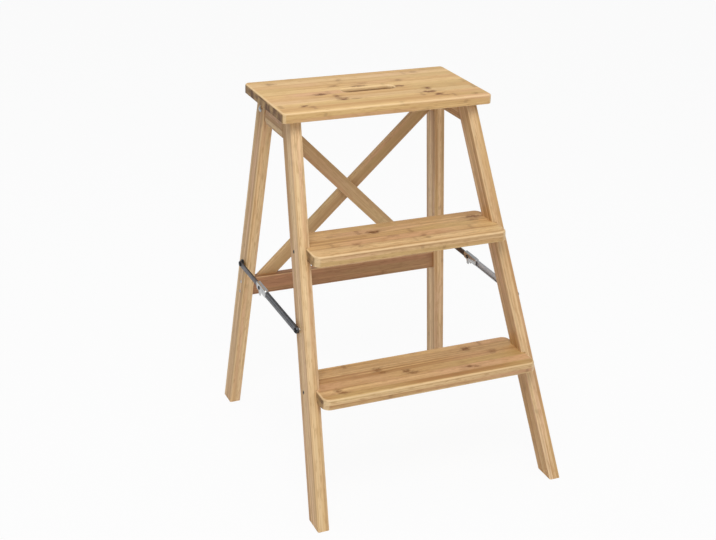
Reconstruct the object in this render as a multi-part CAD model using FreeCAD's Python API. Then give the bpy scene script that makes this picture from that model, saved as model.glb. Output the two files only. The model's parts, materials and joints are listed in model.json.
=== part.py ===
import FreeCAD
import Part
import math
import os

from FreeCAD import Vector

# Folding step stool in bamboo: a raked front ladder with two treads and a top board,
# a nearly upright rear frame that is pivoted under the board, and a locking stay on
# each side.  Millimetres, +Z up, front towards -Y, origin on the floor under the middle
# of the footprint.

# Driving sizes of the whole stool
OVERALL_HEIGHT = 650.0
FOOT_DEPTH = 510.0
SIDE_HALF_WIDTH_TOP = 179.0
SPLAY = math.radians(5.25)
FRONT_RAKE = math.radians(25.9)
REAR_RAKE = math.radians(3.7)

# Boards
BOARD_LENGTH = 402.0
BOARD_DEPTH = 203.5
BOARD_THICKNESS = 18.0
BOARD_FRONT_Y = 29.0
BOARD_CORNER_RADIUS = 8.0
BOARD_EDGE_RADIUS = 4.0
SLOT_LENGTH = 104.0
SLOT_WIDTH = 24.0
SLOT_BEVEL = 2.0
BEVEL_SHARE = 0.25
TREAD_THICKNESS = 19.0
TREAD_DEPTH = 113.0
TREAD_CORNER_RADIUS = 15.0
TREAD_EDGE_RADIUS = 4.0
TREAD_HOUSING = 7.5
MIDDLE_TREAD_TOP = 432.0
MIDDLE_TREAD_REAR_Y = 22.5
LOWER_TREAD_TOP = 214.5
LOWER_TREAD_REAR_Y = -80.0

# Bars of the two frames
BAR_THICKNESS = 21.0
FRONT_LEG_DEPTH = 39.0
REAR_LEG_DEPTH = 38.0
BAR_EDGE_RADIUS = 2.5
SIDE_RAIL_HEIGHT = 40.0
SIDE_RAIL_REAR_Y = 167.0
SIDE_RAIL_CORNER_RADIUS = 10.0
CROSS_RAIL_THICKNESS = 18.0
CROSS_RAIL_SETBACK = 8.0
LOWER_RAIL_BOTTOM = 233.0
LOWER_RAIL_HEIGHT = 37.0
TOP_RAIL_BOTTOM = 590.0
TOP_RAIL_HEIGHT = 34.0
SLAT_WIDTH = 27.0
SLAT_THICKNESS = 9.0
SLAT_ANGLE = 45.0
SLAT_EDGE_RADIUS = 1.5

# Pivot of the rear frame
PIVOT_Y = 194.0
PIVOT_Z = 610.0
LEG_TOP_RADIUS = 19.0
BRACKET_THICKNESS = 2.5
BRACKET_WIDTH = 24.0
BRACKET_FLANGE_INNER_X = 144.0
BRACKET_SCREW_INSET = 10.0
TONGUE_X = 171.0
TONGUE_RADIUS = 8.0
TONGUE_SIDE_GAP = 0.5
TONGUE_SWING_GAP = 2.6
LEG_TOP_GAP = 0.5
PIVOT_SHANK_RADIUS = 3.0
PIVOT_HEAD_RADIUS = 4.6
PIVOT_HEAD_HEIGHT = 2.4
PIVOT_BOLT_REACH = 38.0
PIVOT_WASHER_RADIUS = 6.0
PIVOT_WASHER_THICKNESS = 0.9

# Locking stays
STAY_Z = 300.0
STAY_FRONT_Y = -85.0
STAY_KNEE_Y = 100.0
STAY_REAR_Y = 215.0
STAY_INNER_X = 213.4
CHANNEL_HEIGHT = 12.0
CHANNEL_DEPTH = 5.0
CHANNEL_GAUGE = 1.2
CHANNEL_KNEE_SETBACK = 22.0
BEAD_RADIUS = 3.0
BEAD_RISE = 0.8
STRAP_HEIGHT = 11.4
STRAP_GAUGE = 2.4
STRAP_INSET = 0.9
KNUCKLE_GAUGE = 1.2
KNUCKLE_FRONT_REACH = 34.0
KNUCKLE_REAR_REACH = 14.0
KNUCKLE_EAR_DROP = 8.0
KNUCKLE_EAR_WIDTH = 9.0
KNEE_PIN_RADIUS = 2.5
STAY_SCREW_RADIUS = 2.0
STAY_HEAD_RADIUS = 5.0
STAY_HEAD_HEIGHT = 2.4
STAY_SCREW_DEPTH = 16.0
SPACER_RADIUS = 4.0
ANCHOR_RADIUS = 8.0
ANCHOR_SCREW_RADIUS = 1.6
PIN_CLEARANCE = 0.05
FACE_CLEARANCE = 0.3

# Fixings in the wood
SCREW_RADIUS = 2.0
SCREW_HEAD_RADIUS = 3.6
SCREW_HEAD_HEIGHT = 2.0
SCREW_HEAD_STAND = 0.3
HEAD_RIM_SHARE = 0.4
HEAD_CROWN_SHARE = 0.6
TREAD_SCREW_LENGTH = 45.0
TREAD_SCREW_OFFSET = 4.5
TREAD_SCREW_DROP = 12.0
RAIL_SCREW_SPACING = 20.0
DOWEL_RADIUS = 4.0
DOWEL_LENGTH = 24.0
BOARD_DOWEL_BITE = 11.0
SIDE_RAIL_DOWEL_SHARE = 0.65
SLAT_DOWEL_RADIUS = 2.5
SLAT_DOWEL_LENGTH = 24.0

# Worked out from the driving sizes
BOARD_UNDERSIDE = OVERALL_HEIGHT - BOARD_THICKNESS
BOARD_CENTRE_Y = BOARD_FRONT_Y + BOARD_DEPTH / 2
FRONT_LEG_RUN = FRONT_LEG_DEPTH / math.cos(FRONT_RAKE)
REAR_LEG_RUN = REAR_LEG_DEPTH / math.cos(REAR_RAKE)
BAR_RUN = BAR_THICKNESS / math.cos(SPLAY)
FLANGE_UNDERSIDE = BOARD_UNDERSIDE - BRACKET_THICKNESS
LEG_TOP = FLANGE_UNDERSIDE - LEG_TOP_GAP
STAY_OUTER_X = STAY_INNER_X + CHANNEL_DEPTH
STRAP_INNER_X = STAY_INNER_X + STRAP_INSET
STRAP_OUTER_X = STRAP_INNER_X + STRAP_GAUGE
REACH = 900.0
ALONG_X = Vector(1, 0, 0)
ALONG_Z = Vector(0, 0, 1)
RIGHT = 1
LEFT = -1
SIDES = {"left": LEFT, "right": RIGHT}


def outer_x(z):
    """Half the width over the outer faces of the legs at height z."""
    return SIDE_HALF_WIDTH_TOP + (OVERALL_HEIGHT - z) * math.tan(SPLAY)


def inner_x(z):
    """Half the clear width between the inner faces of the legs at height z."""
    return outer_x(z) - BAR_RUN


def front_leg_y(z):
    """Front face of the front legs at height z."""
    return z * math.tan(FRONT_RAKE) - FOOT_DEPTH / 2


def rear_leg_y(z):
    """Front face of the rear legs at height z."""
    return FOOT_DEPTH / 2 - z * math.tan(REAR_RAKE) - REAR_LEG_RUN


def cross_rail_y(z):
    """Front face of the cross rails and of the front slat at height z."""
    return rear_leg_y(z) + CROSS_RAIL_SETBACK / math.cos(REAR_RAKE)


def plate(points, direction):
    """A flat closed outline, swept along a direction."""
    return Part.Face(Part.makePolygon(points + points[:1])).extrude(direction)


def box(low, high):
    """A box between two corners."""
    size = Vector(*high) - Vector(*low)
    return Part.makeBox(size.x, size.y, size.z, Vector(*low))


def rod(radius, start, end):
    """A round bar from one point to another."""
    axis = end - start
    return Part.makeCylinder(radius, axis.Length, start, axis)


def mirrored(shape, side):
    """The right-hand shape itself, or its mirror image for the left side."""
    return shape if side == RIGHT else shape.mirror(Vector(0, 0, 0), ALONG_X)


def splayed_slab(inner_offset, outer_offset):
    """The slab of space beside the outer face of the right legs, leaning with them."""
    low = -20.0
    high = OVERALL_HEIGHT
    points = [
        Vector(outer_x(low) - outer_offset, -REACH, low),
        Vector(outer_x(high) - outer_offset, -REACH, high),
        Vector(outer_x(high) - inner_offset, -REACH, high),
        Vector(outer_x(low) - inner_offset, -REACH, low),
    ]
    return plate(points, Vector(0, 2 * REACH, 0))


def side_piece(outline):
    """A bar of the right side frame, from its outline seen from the side."""
    blank = plate([Vector(0, y, z) for y, z in outline], Vector(REACH, 0, 0))
    return blank.common(splayed_slab(BAR_RUN, 0.0))


def eased(shape, radius, shortest):
    """The shape with its long edges rounded over."""
    edges = [edge for edge in shape.Edges if edge.Length > shortest]
    return shape.makeFillet(radius, edges)


def rounded_board(length_bottom, length_top, y_front, depth, z_bottom, thickness, corner, edge):
    """A board with rounded corners in plan, its top edges rounded and its lower edges bevelled."""
    z_top = z_bottom + thickness
    ends = [
        Vector(-length_bottom / 2, y_front, z_bottom),
        Vector(length_bottom / 2, y_front, z_bottom),
        Vector(length_top / 2, y_front, z_top),
        Vector(-length_top / 2, y_front, z_top),
    ]
    blank = plate(ends, Vector(0, depth, 0))
    upright = [e for e in blank.Edges if abs(e.tangentAt(e.FirstParameter).z) > 0.9]
    blank = blank.makeFillet(corner, upright)
    blank = blank.makeFillet(edge, [e for e in blank.Edges if flat_rim(e, z_top)])
    return blank.makeChamfer(edge * BEVEL_SHARE, [e for e in blank.Edges if flat_rim(e, z_bottom)])


def flat_rim(edge, z):
    """Whether an edge lies level at height z."""
    limits = edge.BoundBox
    return abs(limits.ZMin - z) < 0.01 and abs(limits.ZMax - z) < 0.01


def slotted_prism(length, width, y_centre, z_low, z_high):
    """An upright prism with round ends, for the hand slot."""
    half = length / 2 - width / 2
    middle = box((-half, y_centre - width / 2, z_low), (half, y_centre + width / 2, z_high))
    ends = [
        rod(width / 2, Vector(x, y_centre, z_low), Vector(x, y_centre, z_high))
        for x in (-half, half)
    ]
    return middle.multiFuse(ends).removeSplitter()


def make_top_board():
    """The top board with its bevelled hand slot."""
    board = rounded_board(
        BOARD_LENGTH, BOARD_LENGTH, BOARD_FRONT_Y, BOARD_DEPTH,
        BOARD_UNDERSIDE, BOARD_THICKNESS, BOARD_CORNER_RADIUS, BOARD_EDGE_RADIUS,
    )
    slot = slotted_prism(
        SLOT_LENGTH, SLOT_WIDTH, BOARD_CENTRE_Y, BOARD_UNDERSIDE - 1, OVERALL_HEIGHT + 1
    )
    board = board.cut(slot)
    rims = [
        e for e in board.Edges
        if (flat_rim(e, OVERALL_HEIGHT) or flat_rim(e, BOARD_UNDERSIDE))
        and in_slot_zone(e.CenterOfMass)
    ]
    return board.makeChamfer(SLOT_BEVEL, rims)


def in_slot_zone(point):
    """Whether a point lies at the hand slot, in plan."""
    return abs(point.x) < SLOT_LENGTH / 2 + 1 and abs(point.y - BOARD_CENTRE_Y) < SLOT_WIDTH / 2 + 1


def tread_half_length(z):
    """Half the length of a tread at height z: its ends sit in the housings of the legs."""
    return inner_x(z) + TREAD_HOUSING


def make_tread(top, rear_y):
    """A tread with a rounded nose, and ends that lean with the legs."""
    bottom = top - TREAD_THICKNESS
    return rounded_board(
        2 * tread_half_length(bottom), 2 * tread_half_length(top), rear_y - TREAD_DEPTH,
        TREAD_DEPTH, bottom, TREAD_THICKNESS, TREAD_CORNER_RADIUS, TREAD_EDGE_RADIUS,
    )


def tread_housing(top):
    """The groove across the inner face of the right front leg for a tread."""
    groove = box((0, -REACH, top - TREAD_THICKNESS), (REACH, REACH, top))
    return groove.common(splayed_slab(BAR_RUN + 5, BAR_RUN - TREAD_HOUSING))


def make_front_leg():
    """The right front leg, with its two tread housings."""
    run = FRONT_LEG_RUN
    outline = [
        (front_leg_y(0), 0),
        (front_leg_y(0) + run, 0),
        (front_leg_y(BOARD_UNDERSIDE) + run, BOARD_UNDERSIDE),
        (front_leg_y(BOARD_UNDERSIDE), BOARD_UNDERSIDE),
    ]
    leg = eased(side_piece(outline), BAR_EDGE_RADIUS, OVERALL_HEIGHT / 2)
    for top in (MIDDLE_TREAD_TOP, LOWER_TREAD_TOP):
        leg = leg.cut(tread_housing(top))
    return leg


def make_side_rail():
    """The right side rail, butted to the rear face of the front leg under the board."""
    bottom = BOARD_UNDERSIDE - SIDE_RAIL_HEIGHT
    outline = [
        (front_leg_y(bottom) + FRONT_LEG_RUN, bottom),
        (SIDE_RAIL_REAR_Y, bottom),
        (SIDE_RAIL_REAR_Y, BOARD_UNDERSIDE),
        (front_leg_y(BOARD_UNDERSIDE) + FRONT_LEG_RUN, BOARD_UNDERSIDE),
    ]
    rail = side_piece(outline)
    corner = [
        e for e in rail.Edges
        if abs(e.CenterOfMass.y - SIDE_RAIL_REAR_Y) < 0.01 and flat_rim(e, bottom)
    ]
    return rail.makeFillet(SIDE_RAIL_CORNER_RADIUS, corner)


def make_rear_leg():
    """The right rear leg, its top rounded about the pivot and slotted for the bracket's tongue."""
    outline = [
        (rear_leg_y(0), 0),
        (rear_leg_y(0) + REAR_LEG_RUN, 0),
        (rear_leg_y(LEG_TOP) + REAR_LEG_RUN, LEG_TOP),
        (rear_leg_y(LEG_TOP), LEG_TOP),
    ]
    leg = eased(side_piece(outline), BAR_EDGE_RADIUS, OVERALL_HEIGHT / 2)
    front_corner = box((0, -REACH, PIVOT_Z), (REACH, PIVOT_Y, OVERALL_HEIGHT))
    arc = rod(LEG_TOP_RADIUS, Vector(0, PIVOT_Y, PIVOT_Z), Vector(REACH, PIVOT_Y, PIVOT_Z))
    return leg.cut(front_corner.cut(arc)).cut(tongue_slot())


def rear_frame_space():
    """The space between the inner faces of the rear legs."""
    low = 0.0
    high = OVERALL_HEIGHT
    points = [
        Vector(-inner_x(low), -REACH, low),
        Vector(inner_x(low), -REACH, low),
        Vector(inner_x(high), -REACH, high),
        Vector(-inner_x(high), -REACH, high),
    ]
    return plate(points, Vector(0, 2 * REACH, 0))


def make_cross_rail(bottom, height):
    """A rail between the rear legs, raked with them."""
    top = bottom + height
    run = CROSS_RAIL_THICKNESS / math.cos(REAR_RAKE)
    outline = [
        Vector(-REACH / 2, cross_rail_y(bottom), bottom),
        Vector(-REACH / 2, cross_rail_y(bottom) + run, bottom),
        Vector(-REACH / 2, cross_rail_y(top) + run, top),
        Vector(-REACH / 2, cross_rail_y(top), top),
    ]
    rail = eased(plate(outline, Vector(REACH, 0, 0)), BAR_EDGE_RADIUS, REACH / 2)
    return rail.common(rear_frame_space())


def make_slat(layer, lean):
    """A slat of the cross brace, cut to the corners between the legs and the rails."""
    z_low = LOWER_RAIL_BOTTOM + LOWER_RAIL_HEIGHT
    z_middle = (z_low + TOP_RAIL_BOTTOM) / 2
    bar = box((-REACH / 2, 0, -SLAT_WIDTH / 2), (REACH / 2, SLAT_THICKNESS, SLAT_WIDTH / 2))
    bar = eased(bar, SLAT_EDGE_RADIUS, REACH / 2)
    bar.rotate(Vector(0, 0, 0), Vector(0, 1, 0), lean * SLAT_ANGLE)
    bar.translate(Vector(0, layer * SLAT_THICKNESS, 0))
    bar.rotate(Vector(0, 0, 0), ALONG_X, math.degrees(REAR_RAKE))
    bar.translate(Vector(0, cross_rail_y(z_middle), z_middle))
    between = box((-REACH / 2, -REACH, z_low), (REACH / 2, REACH, TOP_RAIL_BOTTOM))
    return bar.common(between).common(rear_frame_space())


def make_pivot_bracket():
    """The right bracket: a flange under the board, and a tongue that hangs in the leg's slot."""
    half = BRACKET_WIDTH / 2
    outer = TONGUE_X + BRACKET_THICKNESS
    flange = box(
        (BRACKET_FLANGE_INNER_X, PIVOT_Y - half, FLANGE_UNDERSIDE),
        (outer, PIVOT_Y + half, BOARD_UNDERSIDE),
    )
    tongue = box(
        (TONGUE_X, PIVOT_Y - TONGUE_RADIUS, PIVOT_Z),
        (outer, PIVOT_Y + TONGUE_RADIUS, BOARD_UNDERSIDE),
    )
    nose = pivot_rod(TONGUE_RADIUS, TONGUE_X, outer)
    hole = pivot_rod(PIVOT_SHANK_RADIUS + PIN_CLEARANCE, TONGUE_X - 1, outer + 1)
    return flange.fuse(tongue).fuse(nose).removeSplitter().cut(hole)


def pivot_rod(radius, x_from, x_to):
    """A level cylinder about the rear frame's pivot."""
    return rod(radius, Vector(x_from, PIVOT_Y, PIVOT_Z), Vector(x_to, PIVOT_Y, PIVOT_Z))


def tongue_slot():
    """The slot down the middle of the right rear leg's top, open in front for the swing."""
    x_in = TONGUE_X - TONGUE_SIDE_GAP
    x_out = TONGUE_X + BRACKET_THICKNESS + TONGUE_SIDE_GAP
    radius = TONGUE_RADIUS + TONGUE_SWING_GAP
    upright = box((x_in, -REACH, PIVOT_Z), (x_out, PIVOT_Y + radius, OVERALL_HEIGHT))
    return upright.fuse(pivot_rod(radius, x_in, x_out))


def pan_head(radius, height, base, outward):
    """A screw or rivet head that stands on a face: a short rim under a sloping crown."""
    rim = Part.makeCylinder(radius, height * HEAD_RIM_SHARE, base, outward)
    shoulder = base + outward * (height * HEAD_RIM_SHARE)
    crown = Part.makeCone(
        radius, radius * HEAD_CROWN_SHARE, height * (1 - HEAD_RIM_SHARE), shoulder, outward
    )
    return rim.fuse(crown)


def make_pivot_bolt():
    """The right pivot bolt, through the leg and the tongue into the end of the top rail."""
    seat = outer_x(PIVOT_Z) + PIVOT_WASHER_THICKNESS
    shank = pivot_rod(PIVOT_SHANK_RADIUS, seat - PIVOT_BOLT_REACH, seat)
    base = Vector(seat, PIVOT_Y, PIVOT_Z)
    return shank.fuse(pan_head(PIVOT_HEAD_RADIUS, PIVOT_HEAD_HEIGHT, base, ALONG_X))


def make_pivot_washer(leg):
    """The wedge washer that squares the right bolt's head to the leaning leg."""
    seat = outer_x(PIVOT_Z) + PIVOT_WASHER_THICKNESS
    ring = pivot_rod(PIVOT_WASHER_RADIUS, seat - 4 * PIVOT_WASHER_THICKNESS, seat)
    hole = pivot_rod(PIVOT_SHANK_RADIUS, seat - 8 * PIVOT_WASHER_THICKNESS, seat + 1)
    return ring.cut(hole).common(splayed_slab(0.0, -REACH / 2)).cut(leg)


def make_bracket_screws():
    """The countersunk screws that hold the right bracket's flange to the board."""
    x = BRACKET_FLANGE_INNER_X + BRACKET_SCREW_INSET
    screws = []
    for offset in (-BRACKET_WIDTH / 4, BRACKET_WIDTH / 4):
        base = Vector(x, PIVOT_Y + offset, FLANGE_UNDERSIDE)
        head = Part.makeCone(SCREW_HEAD_RADIUS, SCREW_RADIUS, BRACKET_THICKNESS, base, ALONG_Z)
        shank = rod(SCREW_RADIUS, base, base + ALONG_Z * (BRACKET_THICKNESS + BOARD_THICKNESS / 2))
        screws.append(head.fuse(shank))
    return screws


def level_screw(y, z, length):
    """A screw driven square to the right legs' outer face, its domed head standing proud."""
    seat = Vector(outer_x(z), y, z)
    inward = Vector(-math.cos(SPLAY), 0, -math.sin(SPLAY))
    shank = rod(SCREW_RADIUS, seat, seat + inward * length)
    sunk = rod(SCREW_HEAD_RADIUS, seat + inward * SCREW_HEAD_HEIGHT, seat - inward * SCREW_HEAD_STAND)
    return shank.fuse(sunk)


def tread_screw(top):
    """The screw through the right front leg into the end of a tread."""
    z = top - TREAD_SCREW_DROP
    y = front_leg_y(z) + FRONT_LEG_RUN / 2 + TREAD_SCREW_OFFSET
    return level_screw(y, z, TREAD_SCREW_LENGTH)


def make_tread_screws():
    """The right-hand tread screws."""
    return [tread_screw(top) for top in (MIDDLE_TREAD_TOP, LOWER_TREAD_TOP)]


def make_rail_screws():
    """The right-hand screws through the rear leg into the lower cross rail."""
    middle = LOWER_RAIL_BOTTOM + LOWER_RAIL_HEIGHT / 2
    screws = []
    for z in (middle - RAIL_SCREW_SPACING / 2, middle + RAIL_SCREW_SPACING / 2):
        y = cross_rail_y(z) + CROSS_RAIL_THICKNESS / 2
        screws.append(level_screw(y, z, TREAD_SCREW_LENGTH))
    return screws


def make_board_dowels():
    """The right-hand upright dowels that join the side rail and the front leg to the board."""
    x = outer_x(BOARD_UNDERSIDE) - BAR_RUN / 2
    rail_front = front_leg_y(BOARD_UNDERSIDE) + FRONT_LEG_RUN
    rail_length = SIDE_RAIL_REAR_Y - rail_front
    places = (rail_front - FRONT_LEG_RUN / 2, rail_front + rail_length / 2)
    top = BOARD_UNDERSIDE + BOARD_DOWEL_BITE
    return [rod(DOWEL_RADIUS, Vector(x, y, top - DOWEL_LENGTH), Vector(x, y, top)) for y in places]


def make_side_rail_dowel():
    """The right-hand level dowel that joins the side rail to the front leg."""
    z = BOARD_UNDERSIDE - SIDE_RAIL_HEIGHT * SIDE_RAIL_DOWEL_SHARE
    joint = Vector(outer_x(z) - BAR_RUN / 2, front_leg_y(z) + FRONT_LEG_RUN, z)
    half = Vector(0, DOWEL_LENGTH / 2, 0)
    return rod(DOWEL_RADIUS, joint - half, joint + half)


def make_slat_dowels(slats):
    """Small upright dowels that fix the four slat ends to the two rails."""
    dowels = []
    for slat, lean in slats:
        for z, sign in ((TOP_RAIL_BOTTOM, -lean), (LOWER_RAIL_BOTTOM + LOWER_RAIL_HEIGHT, lean)):
            end = slat.common(box((-REACH, -REACH, z - 0.5), (REACH, REACH, z + 0.5)))
            middle = end.BoundBox.Center
            half = Vector(0, 0, SLAT_DOWEL_LENGTH / 2)
            foot = Vector(middle.x, middle.y, z)
            dowels.append(rod(SLAT_DOWEL_RADIUS, foot - half, foot + half))
    return dowels


def make_crossing_screw():
    """The screw through the crossing of the slats, its head at the back."""
    z = (LOWER_RAIL_BOTTOM + LOWER_RAIL_HEIGHT + TOP_RAIL_BOTTOM) / 2
    into = Vector(0, math.cos(REAR_RAKE), math.sin(REAR_RAKE))
    front = Vector(0, cross_rail_y(z), z)
    back = front + into * (2 * SLAT_THICKNESS)
    shank = rod(SCREW_RADIUS * 0.8, front + into * 3, back)
    return shank.fuse(pan_head(SCREW_HEAD_RADIUS, 1.6, back, into))


def make_front_arm():
    """The right front arm of the stay: a channel with a bead along its web."""
    half = CHANNEL_HEIGHT / 2
    knee_end = STAY_KNEE_Y - CHANNEL_KNEE_SETBACK
    x_web = STAY_OUTER_X - CHANNEL_GAUGE
    blank = box((STAY_INNER_X, STAY_FRONT_Y, STAY_Z - half), (STAY_OUTER_X, knee_end, STAY_Z + half))
    nose = rod(half, Vector(STAY_INNER_X, STAY_FRONT_Y, STAY_Z), Vector(STAY_OUTER_X, STAY_FRONT_Y, STAY_Z))
    hollow_half = half - CHANNEL_GAUGE
    hollow = box(
        (STAY_INNER_X - 1, STAY_FRONT_Y, STAY_Z - hollow_half),
        (x_web, knee_end + 1, STAY_Z + hollow_half),
    )
    hollow_nose = rod(
        hollow_half, Vector(STAY_INNER_X - 1, STAY_FRONT_Y, STAY_Z), Vector(x_web, STAY_FRONT_Y, STAY_Z)
    )
    arm = blank.fuse(nose).removeSplitter()
    arm = arm.cut(hollow.fuse(hollow_nose))
    bead_start = STAY_FRONT_Y + 2.2 * STAY_HEAD_RADIUS
    bead_end = STAY_KNEE_Y - KNUCKLE_FRONT_REACH - 3
    bead_x = STAY_OUTER_X + BEAD_RISE - BEAD_RADIUS
    bead = rod(BEAD_RADIUS, Vector(bead_x, bead_start, STAY_Z), Vector(bead_x, bead_end, STAY_Z))
    proud = box((STAY_OUTER_X - 0.4, -REACH, 0), (STAY_OUTER_X + 5, REACH, OVERALL_HEIGHT))
    arm = arm.fuse(bead.common(proud)).removeSplitter()
    hole = stay_rod(STAY_SCREW_RADIUS + PIN_CLEARANCE, STAY_FRONT_Y, STAY_INNER_X - 1, STAY_OUTER_X + 1)
    return arm.cut(hole)


def stay_rod(radius, y, x_from, x_to):
    """A level cylinder on the stay's height, square to the side of the stool."""
    return rod(radius, Vector(x_from, y, STAY_Z), Vector(x_to, y, STAY_Z))


def make_knuckle():
    """The right knuckle: a saddle closed on top, so the knee can only break upwards."""
    gauge = KNUCKLE_GAUGE
    half = CHANNEL_HEIGHT / 2
    x_in = STAY_INNER_X - gauge
    x_out = STAY_OUTER_X + gauge
    y_front = STAY_KNEE_Y - KNUCKLE_FRONT_REACH
    y_rear = STAY_KNEE_Y + KNUCKLE_REAR_REACH
    side_outline = [
        (y_front, STAY_Z - half + 2),
        (y_front + 2, STAY_Z - half),
        (STAY_KNEE_Y - KNUCKLE_EAR_WIDTH, STAY_Z - half),
        (STAY_KNEE_Y - KNUCKLE_EAR_WIDTH + 2.5, STAY_Z - half - KNUCKLE_EAR_DROP),
        (STAY_KNEE_Y, STAY_Z - half - KNUCKLE_EAR_DROP),
        (STAY_KNEE_Y + 2.5, STAY_Z - half),
        (y_rear - 4, STAY_Z - half),
        (y_rear, STAY_Z - half + 4),
        (y_rear, STAY_Z + half + gauge),
        (y_front, STAY_Z + half + gauge),
    ]
    blank = plate([Vector(x_in, y, z) for y, z in side_outline], Vector(x_out - x_in, 0, 0))
    top_edges = [
        e for e in blank.Edges
        if e.Length > KNUCKLE_FRONT_REACH and flat_rim(e, STAY_Z + half + gauge)
    ]
    blank = blank.makeFillet(gauge * 0.9, top_edges)
    hollow = box(
        (STAY_INNER_X, y_front - 1, STAY_Z - 3 * CHANNEL_HEIGHT),
        (STAY_OUTER_X, y_rear + 1, STAY_Z + half),
    )
    pin = stay_rod(KNEE_PIN_RADIUS, STAY_KNEE_Y, x_in - 1, x_out + 1)
    return blank.cut(hollow).cut(pin)


def make_knee_pin():
    """The right knee pin, riveted over the two cheeks of the knuckle."""
    x_in = STAY_INNER_X - KNUCKLE_GAUGE
    x_out = STAY_OUTER_X + KNUCKLE_GAUGE
    shank = stay_rod(KNEE_PIN_RADIUS, STAY_KNEE_Y, x_in, x_out)
    outer = pan_head(KNEE_PIN_RADIUS * 1.5, 1.4, Vector(x_out, STAY_KNEE_Y, STAY_Z), ALONG_X)
    inner = pan_head(KNEE_PIN_RADIUS * 1.5, 1.0, Vector(x_in, STAY_KNEE_Y, STAY_Z), ALONG_X * -1)
    return shank.fuse(outer).fuse(inner)


def make_rear_arm():
    """The right rear arm: a flat strap from the knee to the rear leg."""
    half = STRAP_HEIGHT / 2
    strap = box(
        (STRAP_INNER_X, STAY_KNEE_Y, STAY_Z - half), (STRAP_OUTER_X, STAY_REAR_Y, STAY_Z + half)
    )
    knee_end = stay_rod(half, STAY_KNEE_Y, STRAP_INNER_X, STRAP_OUTER_X)
    rear_end = stay_rod(half, STAY_REAR_Y, STRAP_INNER_X, STRAP_OUTER_X)
    strap = strap.fuse(knee_end).fuse(rear_end).removeSplitter()
    knee_hole = stay_rod(
        KNEE_PIN_RADIUS + PIN_CLEARANCE, STAY_KNEE_Y, STRAP_INNER_X - 1, STRAP_OUTER_X + 1
    )
    rear_hole = stay_rod(STAY_SCREW_RADIUS, STAY_REAR_Y, STRAP_INNER_X - 1, STRAP_OUTER_X + 1)
    return strap.cut(knee_hole).cut(rear_hole)


def make_rear_arm_rivet():
    """The right rivet at the rear end of the stay."""
    x_in = STRAP_INNER_X - 0.6
    shank = stay_rod(STAY_SCREW_RADIUS, STAY_REAR_Y, x_in, STRAP_OUTER_X)
    collar = stay_rod(STAY_HEAD_RADIUS * 0.8, STAY_REAR_Y, x_in, STRAP_INNER_X)
    head = pan_head(
        STAY_HEAD_RADIUS, STAY_HEAD_HEIGHT, Vector(STRAP_OUTER_X, STAY_REAR_Y, STAY_Z), ALONG_X
    )
    return shank.fuse(collar).fuse(head)


def make_rear_anchor(leg):
    """The right boss on the rear leg that the stay's rear rivet sits on."""
    x_end = STRAP_INNER_X - 0.6 - FACE_CLEARANCE
    boss = stay_rod(ANCHOR_RADIUS, STAY_REAR_Y, outer_x(STAY_Z) - 4, x_end)
    screw = stay_rod(ANCHOR_SCREW_RADIUS, STAY_REAR_Y, outer_x(STAY_Z) - STAY_SCREW_DEPTH, x_end)
    return boss.cut(leg).fuse(screw)


def make_front_stay_screw():
    """The right screw that the front arm turns on."""
    seat = STAY_OUTER_X + PIN_CLEARANCE
    shank = stay_rod(STAY_SCREW_RADIUS, STAY_FRONT_Y, outer_x(STAY_Z) - STAY_SCREW_DEPTH, seat)
    head = pan_head(
        STAY_HEAD_RADIUS, STAY_HEAD_HEIGHT, Vector(seat, STAY_FRONT_Y, STAY_Z), ALONG_X
    )
    return shank.fuse(head)


def make_front_spacer(leg):
    """The right sleeve that keeps the front arm off the face of the leg."""
    x_end = STAY_OUTER_X - CHANNEL_GAUGE - PIN_CLEARANCE
    sleeve = stay_rod(SPACER_RADIUS, STAY_FRONT_Y, outer_x(STAY_Z) - 4, x_end)
    bore = stay_rod(STAY_SCREW_RADIUS, STAY_FRONT_Y, outer_x(STAY_Z) - 5, x_end + 1)
    return sleeve.cut(bore).cut(leg)


def without(shape, tools):
    """The shape with the room for its fixings taken out."""
    for tool in tools:
        if shape.BoundBox.intersect(tool.BoundBox):
            shape = shape.cut(tool)
    return shape


def both_sides(shapes):
    """The right-hand shapes and their mirror images."""
    return shapes + [mirrored(shape, LEFT) for shape in shapes]


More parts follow.
